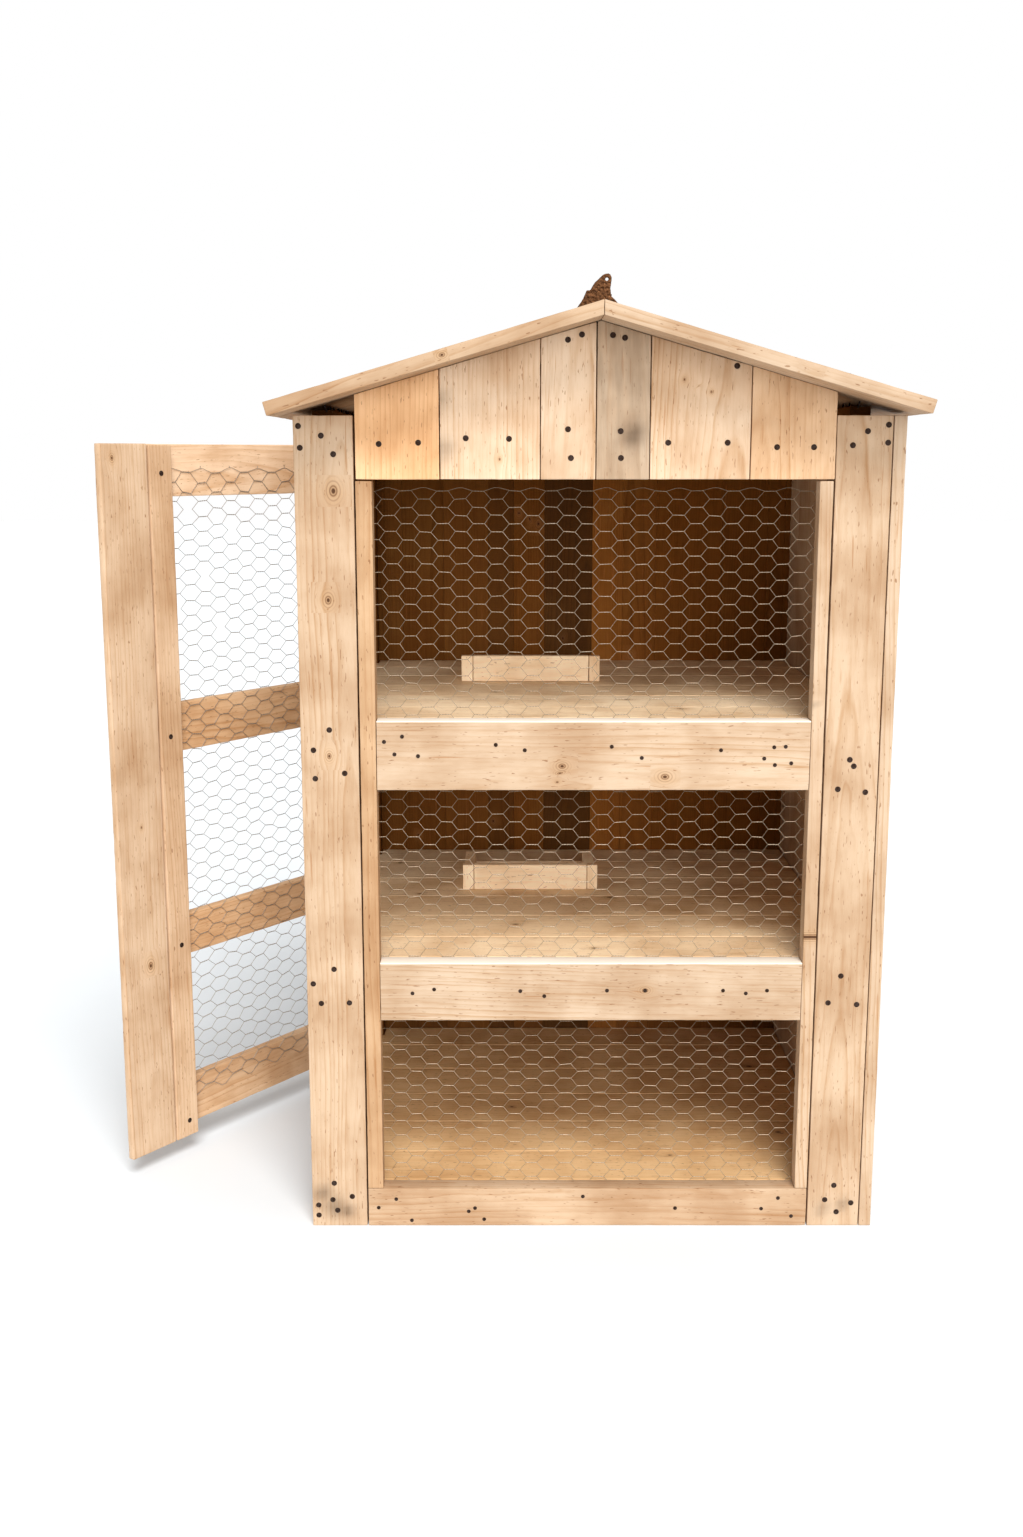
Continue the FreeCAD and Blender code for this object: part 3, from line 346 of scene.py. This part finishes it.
# The door net's wire: a paler copy of the galvanised wire, whose extra paleness is painted light.
GALVANISED_LIT = metal_material("galvanised_wire_painted_light", (0.62, 0.57, 0.50), (0.46, 0.41, 0.35), (0.24, 0.12, 0.05),
                           rust_share=0.10, roughness=0.50)
GALVANISED = metal_material("galvanised_wire", (0.38, 0.30, 0.22), (0.26, 0.20, 0.14), (0.20, 0.10, 0.045),
                            rust_share=0.10, roughness=0.50)
NAIL = metal_material("nail_iron", (0.045, 0.022, 0.012), (0.020, 0.009, 0.005), (0.040, 0.016, 0.007),
                      rust_share=0.62, roughness=0.65)
ZINC = metal_material("zinc_plate", (0.62, 0.60, 0.56), (0.47, 0.45, 0.41), (0.32, 0.16, 0.07),
                      rust_share=0.18, roughness=0.38)
RUST = metal_material("rusty_iron", (0.10, 0.042, 0.016), (0.060, 0.024, 0.009), (0.085, 0.030, 0.010),
                      rust_share=0.30, roughness=0.40)


# ---------------------------------------------------------------- boards

def loose_parts(mesh):
    """The vertices of each separate solid in a bmesh."""
    seen, parts = set(), []
    for start in mesh.verts:
        if start in seen:
            continue
        seen.add(start)
        waiting, part = [start], []
        while waiting:
            vert = waiting.pop()
            part.append(vert)
            for edge in vert.link_edges:
                other = edge.other_vert(vert)
                if other not in seen:
                    seen.add(other)
                    waiting.append(other)
        parts.append(part)
    return parts


def solids_of(name):
    """Each solid of a CAD node, as (corners, faces by corner number)."""
    welded = bmesh.new()
    welded.from_mesh(frame["nodes"][name].data)
    bmesh.ops.remove_doubles(welded, verts=welded.verts, dist=WELD)
    welded.faces.index_update()
    solids = []
    for part in loose_parts(welded):
        number = {vert: k for k, vert in enumerate(part)}
        faces = {face.index: face for vert in part for face in vert.link_faces}
        solids.append(([vert.co.copy() for vert in part],
                       [[number[vert] for vert in faces[k].verts] for k in sorted(faces)]))
    welded.free()
    return solids


FRONT_BOARDS = ["front_left_board", "front_right_board", "left_inner_strip", "right_inner_strip",
                "bottom_rail", "lower_shelf_fascia", "upper_shelf_fascia", "door_leading_board",
                "door_inner_stile", "door_hinge_stile", "door_bottom_rail", "door_lower_rail",
                "door_upper_rail", "door_top_rail", *[f"gable_board_{k}" for k in range(1, 7)]]
OUTER_BOARDS = ["left_front_side_board", "left_rear_side_board", "left_top_board",
                "right_front_corner_board", "right_rear_corner_board", "right_wall_rails",
                "right_wall_boards", "roof_boards_left", "roof_boards_right", "turn_button_lower",
                "turn_button_upper"]
SHELF_BOARDS = ["floor_boards", "lower_shelf_boards", "upper_shelf_boards", "lower_hatch_curb",
                "upper_hatch_curb"]
INNER_FRAME = ["front_left_post", "front_right_post", "hinge_post", "front_top_rail", "back_top_rail",
               "left_eave_rail", "right_eave_rail", "ridge_beam", "floor_joists", "lower_shelf_bearers",
               "upper_shelf_bearers", "back_wall_boards"]
SNUG_BOARDS = ["back_wall_boards", "right_wall_boards", "roof_boards_left", "roof_boards_right"]
HIGHLIGHTED_TOPS = ["upper_shelf_fascia", "lower_shelf_fascia"]

# Knots that are seen from the front, as (X, Y, Z, radius).
KNOTS = {
    "front_left_board": [(-0.427, -0.41, 1.273, 0.0115), (-0.439, -0.41, 1.098, 0.0090),
                         (-0.443, -0.41, 0.840, 0.0065)],
    "upper_shelf_fascia": [(-0.057, -0.41, 0.823, 0.0075), (-0.065, -0.41, 0.796, 0.0035),
                           (0.114, -0.41, 0.805, 0.0090)],
    "lower_shelf_fascia": [(0.087, -0.41, 0.433, 0.0065)],
    "right_inner_strip": [(0.368, -0.41, 0.528, 0.0060)],
    "gable_board_2": [(-0.160, -0.41, 1.323, 0.0035)],
    "gable_board_5": [(0.133, -0.41, 1.447, 0.0035), (0.176, -0.41, 1.428, 0.0035)],
    "door_leading_board": [(-0.832, -0.20, 1.325, 0.0060), (-0.800, -0.18, 0.399, 0.0095),
                           (-0.812, -0.18, 0.664, 0.0040)],
}
# Knots that come out on a board's front edge, in the same form.
EDGE_KNOTS = {
    "roof_boards_left": [(-0.247, -0.505, 1.479, 0.0060)],
}
# Places that are darker round about, as (X, Y, Z, reach): stains on the front and gable boards, and the
# back wall darker towards the bottom.
DARK_SPOTS = {
    "back_wall_boards": [(-0.40, 0.45, -0.25, 0.36), (-0.10, 0.45, -0.25, 0.36),
                         (0.20, 0.45, -0.25, 0.36), (0.50, 0.45, -0.25, 0.36)],
    "front_left_board": [(-0.452, -0.41, 0.035, 0.022), (-0.470, -0.41, 0.062, 0.016),
                         (-0.430, -0.41, 0.030, 0.014)],
    "front_right_board": [(0.405, -0.41, 0.030, 0.014), (0.440, -0.41, 0.040, 0.012)],
    "right_inner_strip": [(0.365, -0.41, 0.947, 0.006), (0.358, -0.41, 0.924, 0.005)],
    "gable_board_2": [(-0.250, -0.41, 1.34, 0.020), (-0.252, -0.41, 1.42, 0.016)],
    "gable_board_4": [(0.055, -0.41, 1.36, 0.022)],
}
# Shade, greyness and warmth of each board in a node, repeated as needed. The high shades of the gable
# boards, the door boards and the hatch curbs are painted light, and the floor boards' low shade takes back
# part of the shelf pine's painted light.
TONES_AND_PAINTED_LIGHT = {
    "front_left_board": [(0.00, 0.03, 0.20)],
    "front_right_board": [(0.00, 0.03, 0.22)],
    "right_front_corner_board": [(0.00, 0.02, 0.10)],
    "left_inner_strip": [(-0.01, 0.02, 0.70)],
    "right_inner_strip": [(0.02, 0.02, 0.15)],
    "upper_shelf_fascia": [(0.00, 0.00, 0.05)],
    "lower_shelf_fascia": [(-0.03, 0.00, 0.00)],
    "bottom_rail": [(0.00, 0.02, 0.30)],
    "gable_board_1": [(0.60, 0.00, 0.80)],
    "gable_board_2": [(0.32, 0.02, 0.00)],
    "gable_board_3": [(0.22, 0.06, 0.00)],
    "gable_board_4": [(0.14, 0.45, 0.00)],
    "gable_board_5": [(0.28, 0.02, 0.00)],
    "gable_board_6": [(0.28, 0.00, 0.50)],
    "door_leading_board": [(0.20, 0.02, 0.20)],
    "door_inner_stile": [(0.28, 0.02, 0.30)],
    "door_top_rail": [(0.55, 0.00, 0.15)],
    "door_upper_rail": [(0.35, 0.00, 0.70)],
    "door_lower_rail": [(0.35, 0.00, 0.70)],
    "door_bottom_rail": [(0.30, 0.00, 0.50)],
    "upper_hatch_curb": [(0.22, 0.00, 0.00)],
    "lower_hatch_curb": [(0.22, 0.00, 0.00)],
    "floor_boards": [(-0.10, 0.00, 0.90)],
    "back_wall_boards": [(0.25, 0.02, 0.00), (0.15, 0.00, 0.10), (0.30, 0.02, 0.00),
                         (0.00, 0.04, 0.00), (0.40, 0.00, 0.10), (-0.25, 0.10, 0.00),
                         (1.30, 0.02, 0.00), (1.00, 0.02, 0.00), (0.80, 0.00, 0.10),
                         (0.70, 0.02, 0.00), (0.60, 0.04, 0.00), (0.50, 0.02, 0.00)],
}


def noise_at(point, scale, offset):
    return noise.noise(Vector(point) * scale + Vector((offset, offset * 0.37, -offset * 0.71)))


def axes_of(mesh):
    """A board's own axes: along the grain, across the face and through the thickness."""
    longest = max(mesh.edges, key=lambda edge: round(edge.calc_length(), 6))
    along = (longest.verts[1].co - longest.verts[0].co).normalized()
    if max(along, key=abs) < 0:
        along.negate()
    widest = max(mesh.faces, key=lambda face: round(face.calc_area(), 9))
    through = widest.normal.copy()
    through = (through - along * through.dot(along)).normalized()
    return along, through.cross(along), through


def slice_along(mesh, axis, step):
    """Cuts every face at even stations along an axis, and near both ends."""
    reach = [vert.co.dot(axis) for vert in mesh.verts]
    low, high = min(reach), max(reach)
    inner_low, inner_high = low + SUPPORT, high - SUPPORT
    count = max(1, round((inner_high - inner_low) / step))
    for k in range(count + 1):
        place = inner_low + (inner_high - inner_low) * k / count
        everything = mesh.verts[:] + mesh.edges[:] + mesh.faces[:]
        bmesh.ops.bisect_plane(mesh, geom=everything, dist=1e-6, plane_co=axis * place, plane_no=axis)


def board_surface(corners, faces, step, seed, snug):
    """A rounded, slightly uneven board in a solid's place. Returns its bmesh and axes.

    A snug board fills half of each tight seam beside it, so that no light gets past it.
    """
    mesh = bmesh.new()
    verts = [mesh.verts.new(corner) for corner in corners]
    for face in faces:
        mesh.faces.new([verts[k] for k in face])
    bmesh.ops.recalc_face_normals(mesh, faces=mesh.faces)
    if mesh.calc_volume(signed=True) < 0:
        bmesh.ops.reverse_faces(mesh, faces=mesh.faces)
    bmesh.ops.dissolve_limit(mesh, angle_limit=math.radians(1), verts=mesh.verts, edges=mesh.edges)
    mesh.normal_update()
    axes = axes_of(mesh)
    sharp = [edge for edge in mesh.edges if edge.calc_face_angle(0) > math.radians(30)]
    bmesh.ops.bevel(mesh, geom=sharp, offset=ARRIS, offset_type="OFFSET", segments=ARRIS_STEPS,
                    profile=0.5, affect="EDGES", clamp_overlap=True)
    arris = mesh.verts.layers.float.new("edge")
    for face in mesh.faces:
        shortest = min(edge.calc_length() for edge in face.edges)
        if face.calc_area() < ARRIS * 4 * ARRIS or shortest < ARRIS * 1.2:
            for vert in face.verts:
                vert[arris] = 1.0
    slice_along(mesh, axes[0], step)
    slice_along(mesh, axes[1], step)
    mesh.normal_update()
    sides = [vert.co.dot(axes[1]) for vert in mesh.verts]
    middle, half_width = (max(sides) + min(sides)) / 2, (max(sides) - min(sides)) / 2
    moves = []
    for vert in mesh.verts:
        place = Vector([vert.co.dot(axis) * scale for axis, scale in zip(axes, (3.0, 9.0, 9.0))])
        bow = min(max(0.5 + noise_at(place, 1.0, seed), 0.0), 1.0)
        nick = max(0.0, noise_at(vert.co, 60.0, seed)) * vert[arris]
        move = vert.normal * -(bow * UNEVENNESS + nick * EDGE_WEAR)
        if snug:
            reach = (vert.co.dot(axes[1]) - middle) / half_width
            move += axes[1] * (reach * SEAM_CLOSING - move.dot(axes[1]))
        moves.append(move)
    for vert, move in zip(mesh.verts, moves):
        vert.co += move
    return mesh, axes


def random_knots(random_numbers, spans, per_metre):
    """A few knots inside a board's own spans, as (along, across, radius)."""
    (low, high), (left, right) = spans
    count = int((high - low) * per_metre + random_numbers.random())
    return [(random_numbers.uniform(low + 0.04, high - 0.04),
             random_numbers.uniform(left + 0.008, right - 0.008),
             random_numbers.uniform(0.0035, 0.0080)) for _ in range(count)]


def board_facts(name, number, points, axes):
    """The attributes that the wood material reads, for one board's points."""
    random_numbers = random.Random(seed_of(name, number))
    along, across, through = (points @ np.array(axis) for axis in axes)
    spans = (along.min(), along.max()), (across.min(), across.max())
    middle = (across.min() + across.max()) / 2
    width = across.max() - across.min()
    flat_sawn = random_numbers.random() < 0.7
    pith_across = middle + width * random_numbers.uniform(-0.5, 0.5)
    pith_through = through.max() + random_numbers.uniform(0.02, 0.06)
    if not flat_sawn:
        pith_across = middle + random_numbers.choice((-1, 1)) * random_numbers.uniform(0.10, 0.22)
        pith_through = through.mean() + random_numbers.uniform(-0.02, 0.02)
    lean = random_numbers.uniform(-0.018, 0.018), random_numbers.uniform(0.012, 0.035)
    phase = random_numbers.uniform(0, 7)
    sway = 0.006 * np.sin(along * 3.1 + phase)
    from_middle = along - sum(spans[0]) / 2
    grain = np.stack([along + random_numbers.uniform(0, 40),
                      across - pith_across - lean[0] * from_middle - sway,
                      through - pith_through - lean[1] * from_middle], 1)

    knots = [] if name in FRONT_BOARDS else random_knots(random_numbers, spans, 0.9)
    for x, y, z, radius in KNOTS.get(name, []):
        place = Vector((x, y, z))
        knots.append((place.dot(axes[0]), place.dot(axes[1]), radius))
    sideways = across
    if number == 0 and name in EDGE_KNOTS:
        places = [(Vector(found[:3]), found[3]) for found in EDGE_KNOTS[name]]
        knots = [(place.dot(axes[0]), place.dot(axes[2]), radius) for place, radius in places]
        sideways = through
    knot = np.tile([FAR_AWAY, FAR_AWAY, 0.01], (len(points), 1))
    if knots:
        table = np.array(knots)
        offsets = np.stack([along[:, None] - table[:, 0], sideways[:, None] - table[:, 1]], 2)
        chosen = np.linalg.norm(offsets, axis=2).argmin(1)
        rows = np.arange(len(points))
        chosen_offsets = offsets[rows, chosen]
        far = np.abs(chosen_offsets).max(1) > KNOT_HOLD
        chosen_offsets[far] *= KNOT_GROWTH
        knot = np.column_stack([chosen_offsets, table[chosen, 2]])

    darkening = np.zeros(len(points))
    for x, y, z, reach in DARK_SPOTS.get(name, []):
        distance = np.linalg.norm(points - np.array([x, y, z]), axis=1)
        darkening = np.maximum(darkening, np.exp(-(distance / reach) ** 2))

    board_tones_and_light = TONES_AND_PAINTED_LIGHT.get(name)
    if board_tones_and_light:
        tone_and_light = board_tones_and_light[number % len(board_tones_and_light)]
    else:
        tone_and_light = (random_numbers.uniform(-0.06, 0.04), random_numbers.uniform(0.0, 0.08),
                random_numbers.uniform(0.1, 0.5))
    return {"grain": grain, "knot": knot, "darkening": darkening, "tone_and_light": np.tile(tone_and_light, (len(points), 1))}


def write_attribute(mesh, name, domain, values):
    values = np.asarray(values, np.float32)
    kind = "FLOAT_VECTOR" if values.ndim == 2 else "FLOAT"
    made = mesh.attributes.get(name) or mesh.attributes.new(name, kind, domain)
    made.data.foreach_set("vector" if values.ndim == 2 else "value", values.ravel())


def piece_of(name, mesh, material, body):
    """Puts a mesh in the scene as one piece that rides on a body."""
    mesh.materials.append(material)
    mesh.polygons.foreach_set("use_smooth", [True] * len(mesh.polygons))
    mesh.set_sharp_from_angle(angle=math.radians(40))
    piece = bpy.data.objects.new(name, mesh)
    bpy.context.scene.collection.objects.link(piece)
    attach(piece, body)
    return piece


def carve_boards(node, material, step):
    """Replaces a CAD node by boards with rounded edges and their own grain."""
    low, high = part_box(node)
    points, faces, facts, ends, edges = [], [], [], [], []
    for number, (corners, sides) in enumerate(solids_of(node)):
        seed = seed_of(node, number) % 997
        surface, axes = board_surface(corners, sides, step, seed, node in SNUG_BOARDS)
        surface.verts.index_update()
        base = len(points)
        own = np.clip([vert.co for vert in surface.verts], low, high)
        arris = surface.verts.layers.float["edge"]
        # The shelf fascias' top edges are marked -1, for a painted highlight.
        highlight_from = high.z - 2 * ARRIS if node in HIGHLIGHTED_TOPS else math.inf
        edges.extend(-1.0 if vert.co.z > highlight_from else vert[arris] for vert in surface.verts)
        faces.extend([base + vert.index for vert in face.verts] for face in surface.faces)
        ends.extend(1.0 if abs(face.normal.dot(axes[0])) > 0.75 else 0.0 for face in surface.faces)
        points.extend(own.tolist())
        facts.append(board_facts(node, number, own, axes))
        surface.free()
    mesh = bpy.data.meshes.new(f"{node}_wood")
    mesh.from_pydata(points, [], faces)
    for key in facts[0]:
        write_attribute(mesh, key, "POINT", np.concatenate([fact[key] for fact in facts]))
    write_attribute(mesh, "edge", "POINT", edges)
    write_attribute(mesh, "end", "FACE", ends)
    piece = piece_of(f"{node}_wood", mesh, material, frame["nodes"][node]["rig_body"])
    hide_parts(node)


def make_woodwork():
    for node in FRONT_BOARDS:
        carve_boards(node, PLANED, FINE_STEP)
    for node in OUTER_BOARDS:
        carve_boards(node, PLANED, PLAIN_STEP)
    for node in SHELF_BOARDS:
        carve_boards(node, LIT_SHELF, PLAIN_STEP)
    for node in INNER_FRAME:
        carve_boards(node, SHADED_SAWN, PLAIN_STEP)


# ---------------------------------------------------------------- wire netting

class Tubes:
    """Gathers round wires into one mesh."""

    def __init__(self, radius):
        self.radius = radius
        self.points = []
        self.faces = []

    def add(self, path):
        """A wire along a line of points, closed at both ends."""
        path = np.asarray(path, float)
        steps = np.gradient(path, axis=0)
        steps /= np.linalg.norm(steps, axis=1)[:, None]
        side = np.cross(steps, [0.0, 0.0, 1.0])
        weak = np.linalg.norm(side, axis=1) < 0.2
        side[weak] = np.cross(steps[weak], [0.0, 1.0, 0.0])
        side /= np.linalg.norm(side, axis=1)[:, None]
        over = np.cross(side, steps)
        base = len(self.points)
        angles = np.arange(WIRE_SIDES) * 2 * math.pi / WIRE_SIDES
        rings = (path[:, None] + self.radius * (np.cos(angles)[None, :, None] * side[:, None]
                                                + np.sin(angles)[None, :, None] * over[:, None]))
        self.points.extend(rings.reshape(-1, 3).tolist())
        for k in range(len(path) - 1):
            here = base + k * WIRE_SIDES
            for a in range(WIRE_SIDES):
                b = (a + 1) % WIRE_SIDES
                self.faces.append((here + a, here + b, here + WIRE_SIDES + b, here + WIRE_SIDES + a))
        last = base + (len(path) - 1) * WIRE_SIDES
        self.faces.append(tuple(base + a for a in reversed(range(WIRE_SIDES))))
        self.faces.append(tuple(last + a for a in range(WIRE_SIDES)))

    def mesh(self, name):
        made = bpy.data.meshes.new(name)
        made.from_pydata(self.points, [], self.faces)
        return made


class Net:
    """Hexagonal wire netting with level twists, in its own flat frame.

    Wires run across. In even columns wire 2j is twisted with wire 2j-1, in odd columns with
    wire 2j+1, half a pitch higher.
    """

    def __init__(self, pitch, column, twist, start, width, height, wire, jitter, seed):
        self.pitch, self.column, self.twist = pitch, column, twist
        self.start = start
        self.width, self.height = width, height
        self.wire, self.jitter = wire, jitter
        self.random = random.Random(seed)
        self.missing = set()
        self.shifts = {}

    def centre(self, k, wire):
        """Where wire number `wire` is twisted in column k, before the sheet is pulled about."""
        row = (wire + 1) // 2 if k % 2 == 0 else wire // 2
        level = row if k % 2 == 0 else row + 0.5
        key = k, row
        if key not in self.shifts:
            self.shifts[key] = tuple(self.random.gauss(0, self.jitter) for _ in range(3))
        dx, dz, lean = self.shifts[key]
        return self.start[0] + k * self.column + dx, self.start[1] + level * self.pitch + dz, lean, key

    def partner(self, k, wire):
        """The wire that this one is twisted with in column k, and whether it is above."""
        if k % 2 == 0:
            return (wire - 1, False) if wire % 2 == 0 else (wire + 1, True)
        return (wire + 1, True) if wire % 2 == 0 else (wire - 1, False)

    def strand(self, wire, columns, wires):
        """One wire as unbroken runs of points (across, up, depth)."""
        runs = [[]]
        for k in columns:
            x, z, lean, key = self.centre(k, wire)
            other, other_is_above = self.partner(k, wire)
            start_phase = math.pi if other_is_above else 0.0
            if key in self.missing:
                runs[-1].append((x - self.twist / 2, z, 0.0))
                runs.append([(x + self.twist / 2, z, 0.0)])
            elif other not in wires:
                sag = -0.30 * self.pitch if other_is_above else 0.0
                runs[-1] += [(x + self.twist * share, z + sag, 0.0) for share in (-0.2, 0.0, 0.2)]
            else:
                for step in range(TWIST_STEPS + 1):
                    share = step / TWIST_STEPS
                    phase = start_phase + share * TWIST_TURNS * 2 * math.pi
                    runs[-1].append((x + self.twist * (share - 0.5),
                                     z + lean * (2 * share - 1) + self.wire * math.cos(phase),
                                     self.wire * math.sin(phase)))
        return runs

    def clipped(self, line):
        """The part of a run inside the sheet's width, cut exactly at its border."""
        low, high = self.width
        kept = []
        for here, after in zip(line, line[1:]):
            if low <= here[0] <= high:
                kept.append(here)
            for border in (low, high):
                if (here[0] - border) * (after[0] - border) < 0:
                    share = (border - here[0]) / (after[0] - here[0])
                    kept.append(tuple(a + (b - a) * share for a, b in zip(here, after)))
        if low <= line[-1][0] <= high:
            kept.append(line[-1])
        return kept

    def strands(self):
        """Every wire's number with each of its runs inside the sheet."""
        first = math.floor((self.width[0] - self.start[0]) / self.column)
        last = math.ceil((self.width[1] - self.start[0]) / self.column)
        low = math.ceil(2 * (self.height[0] - self.start[1]) / self.pitch)
        high = math.floor(2 * (self.height[1] - self.start[1]) / self.pitch)
        columns, wires = range(first, last + 1), range(low, high)
        runs = [(wire, self.clipped(run)) for wire in wires for run in self.strand(wire, columns, wires)]
        return [(wire, run) for wire, run in runs if len(run) > 1]


def front_net():
    """The sheet behind the front frame, drawn in a little below the upper part of the top tier."""
    low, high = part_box("front_netting")
    net = Net(pitch=0.0263, column=0.0297, twist=0.0196, start=(-0.2248, 1.2592), width=(low.x, high.x),
              height=(low.z, high.z), wire=FRONT_WIRE, jitter=0.0003, seed=11)
    depth = (low.y + high.y) / 2
    parts = {"lower": Tubes(FRONT_WIRE), "middle": Tubes(FRONT_WIRE), "upper": Tubes(FRONT_WIRE)}
    for _, line in net.strands():
        points = []
        for x, z, y in line:
            drawn_in = min(max((1.290 - z) / 0.165, 0.0), 1.0)
            pull = 0.010 * (x / 0.36) ** 3 * drawn_in * drawn_in * (3 - 2 * drawn_in)
            bulge = 0.0004 * math.sin(x * 21 + z * 5)
            points.append((x - pull, depth + y + bulge, z))
        level = line[0][1]
        tier = "lower" if level < 0.43 else "middle" if level < 0.84 else "upper"
        parts[tier].add(points)
    for tier, tubes in parts.items():
        name = f"front_netting_{tier}"
        piece = piece_of(name, tubes.mesh(name), GALVANISED, "hutch")
        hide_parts("front_netting")


def door_axes():
    """The door's direction from its hinge and its inner side, read from its netting."""
    points = np.array([vert.co for vert in frame["nodes"]["door_netting"].data.vertices])
    flat = points[:, :2] - points[:, :2].mean(0)
    run = np.linalg.svd(flat, full_matrices=False)[2][0]
    if run[1] > 0:
        run = -run
    side = np.array([-run[1], run[0]])
    return points, run, side


def door_net():
    """The sheet between the door's two layers, with cut ends along its upper edge."""
    points, run, side = door_axes()
    reach, offset = points[:, :2] @ run, points[:, :2] @ side
    low, high = points[:, 2].min(), points[:, 2].max()
    net = Net(pitch=0.0279, column=0.0365, twist=0.0215, start=(reach.min() + 0.0297, low + 0.0069),
              width=(reach.min(), reach.max()), height=(low, high), wire=DOOR_WIRE, jitter=0.0007, seed=23)
    net.missing |= {(11, 40), (8, 39), (10, 36), (12, 34), (9, 32)}
    depth = (offset.min() + offset.max()) / 2
    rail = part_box("door_top_rail")[0].z
    tubes = Tubes(DOOR_WIRE)

    def placed(x, z, y):
        """A point of the sheet on the door; the sheet is stretched where it covers the top rail."""
        bow = 0.0004 * math.sin(x * 17 + z * 6)
        return *(run * x + side * (depth + y + bow)), z + 0.3 * max(0.0, z - rail)

    strands = net.strands()
    for wire, line in strands:
        tubes.add([placed(*point) for point in line])
    top_wire = max(wire for wire, _ in strands)
    top_row = (top_wire + 1) // 2
    for k in range(0, 13, 2):
        x, z = net.start[0] + k * net.column, net.start[1] + (top_row - 0.30) * net.pitch
        tubes.add([placed(x, z, 0.0), placed(x + 0.001, z + 0.002, 0.0004),
                   placed(x + 0.003, z + 0.0035, 0.0006)])
    piece = piece_of("door_netting_wires", tubes.mesh("door_netting_wires"), GALVANISED_LIT, "side_door")
    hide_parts("door_netting")


# ---------------------------------------------------------------- the finial

def rusty_finial():
    """The iron finial, with a pitted skin over the CAD shape."""
    shape = bmesh.new()
    shape.from_mesh(frame["nodes"]["ridge_finial"].data)
    bmesh.ops.remove_doubles(shape, verts=shape.verts, dist=WELD)
    low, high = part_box("ridge_finial")
    mesh = bpy.data.meshes.new("ridge_finial_iron")
    shape.to_mesh(mesh)
    shape.free()
    piece = piece_of("ridge_finial_iron", mesh, RUST, "hutch")
    remesh = piece.modifiers.new("even", "REMESH")
    remesh.mode = "VOXEL"
    remesh.voxel_size = 0.0011
    smooth = piece.modifiers.new("worn", "SMOOTH")
    smooth.iterations = 3
    graph = bpy.context.evaluated_depsgraph_get()
    worn = bpy.data.meshes.new_from_object(piece.evaluated_get(graph))
    piece.modifiers.clear()
    piece.data = worn
    for vert in worn.vertices:
        pit = max(0.0, noise_at(vert.co, 260.0, 3.0)) * 0.0010
        hollow = abs(noise_at(vert.co, 90.0, 8.0)) * 0.0008
        moved = vert.co - vert.normal * (pit + hollow)
        vert.co = [min(max(moved[k], low[k]), high[k]) for k in range(3)]
    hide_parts("ridge_finial")


# ---------------------------------------------------------------- CAD nodes that keep their shape

def finish_hardware():
    finishes = {"body_nails": (NAIL, "nail_steel"), "door_nails": (NAIL, "nail_steel"),
                "netting_staples": (GALVANISED, "galvanised_wire")}
    for node in ("hinge_frame_leaves", "hinge_door_leaves", "hinge_pins", "hinge_frame_screws",
                 "hinge_door_screws", "turn_button_screws"):
        finishes[node] = ZINC, "zinc_steel"
    for node, (material, slot) in finishes.items():
        kept = frame["nodes"][node]
        kept.data.materials.clear()
        kept.data.materials.append(material)


# ---------------------------------------------------------------- the studio

def soft_sun(name, direction, strength):
    """A distant soft light that falls along a direction."""
    light = bpy.data.lights.new(name, "SUN")
    light.energy = strength
    light.angle = math.radians(SUN_SPREAD)
    lamp = bpy.data.objects.new(name, light)
    lamp.rotation_euler = Vector(direction).to_track_quat("-Z", "Y").to_euler()
    bpy.context.scene.collection.objects.link(lamp)


def studio_world():
    """A dim white surround for light, which looks plain white behind the object."""
    world = bpy.data.worlds.new("studio")
    world.use_nodes = True
    nodes, links = world.node_tree.nodes, world.node_tree.links
    surround = nodes["Background"]
    surround.inputs["Color"].default_value = (1, 1, 1, 1)
    surround.inputs["Strength"].default_value = SURROUND
    backdrop = nodes.new("ShaderNodeBackground")
    seen = nodes.new("ShaderNodeLightPath")
    mixed = nodes.new("ShaderNodeMixShader")
    links.new(seen.outputs["Is Camera Ray"], mixed.inputs[0])
    links.new(surround.outputs[0], mixed.inputs[1])
    links.new(backdrop.outputs[0], mixed.inputs[2])
    links.new(mixed.outputs[0], nodes["World Output"].inputs["Surface"])
    backdrop.inputs["Color"].default_value = (1, 1, 1, 1)
    return world


def make_studio():
    scene = bpy.context.scene
    scene.world = studio_world()
    scene.view_settings.view_transform = "Standard"
    soft_sun("high_key", (-0.18, 1.0, -1.28), KEY_STRENGTH)
    soft_sun("low_fill", (-0.20, 1.0, -0.25), FILL_STRENGTH)

    half = FLOOR_HALF
    mesh = bpy.data.meshes.new("floor")
    corners = [(-half, -half, 0), (half, -half, 0), (half, half, 0), (-half, half, 0)]
    mesh.from_pydata(corners, [], [(0, 1, 2, 3)])
    mesh.materials.append(floor_material())
    floor = bpy.data.objects.new("floor", mesh)
    scene.collection.objects.link(floor)

    lens = bpy.data.cameras.new("camera")
    lens.sensor_fit = "VERTICAL"
    lens.sensor_height = SENSOR
    lens.lens = LENS
    lens.clip_end = 200
    camera = bpy.data.objects.new("camera", lens)
    camera.location = EYE
    camera.rotation_euler = (math.radians(EYE_PITCH), 0, 0)
    scene.collection.objects.link(camera)
    scene.camera = camera


make_studio()
make_woodwork()
front_net()
door_net()
rusty_finial()
finish_hardware()
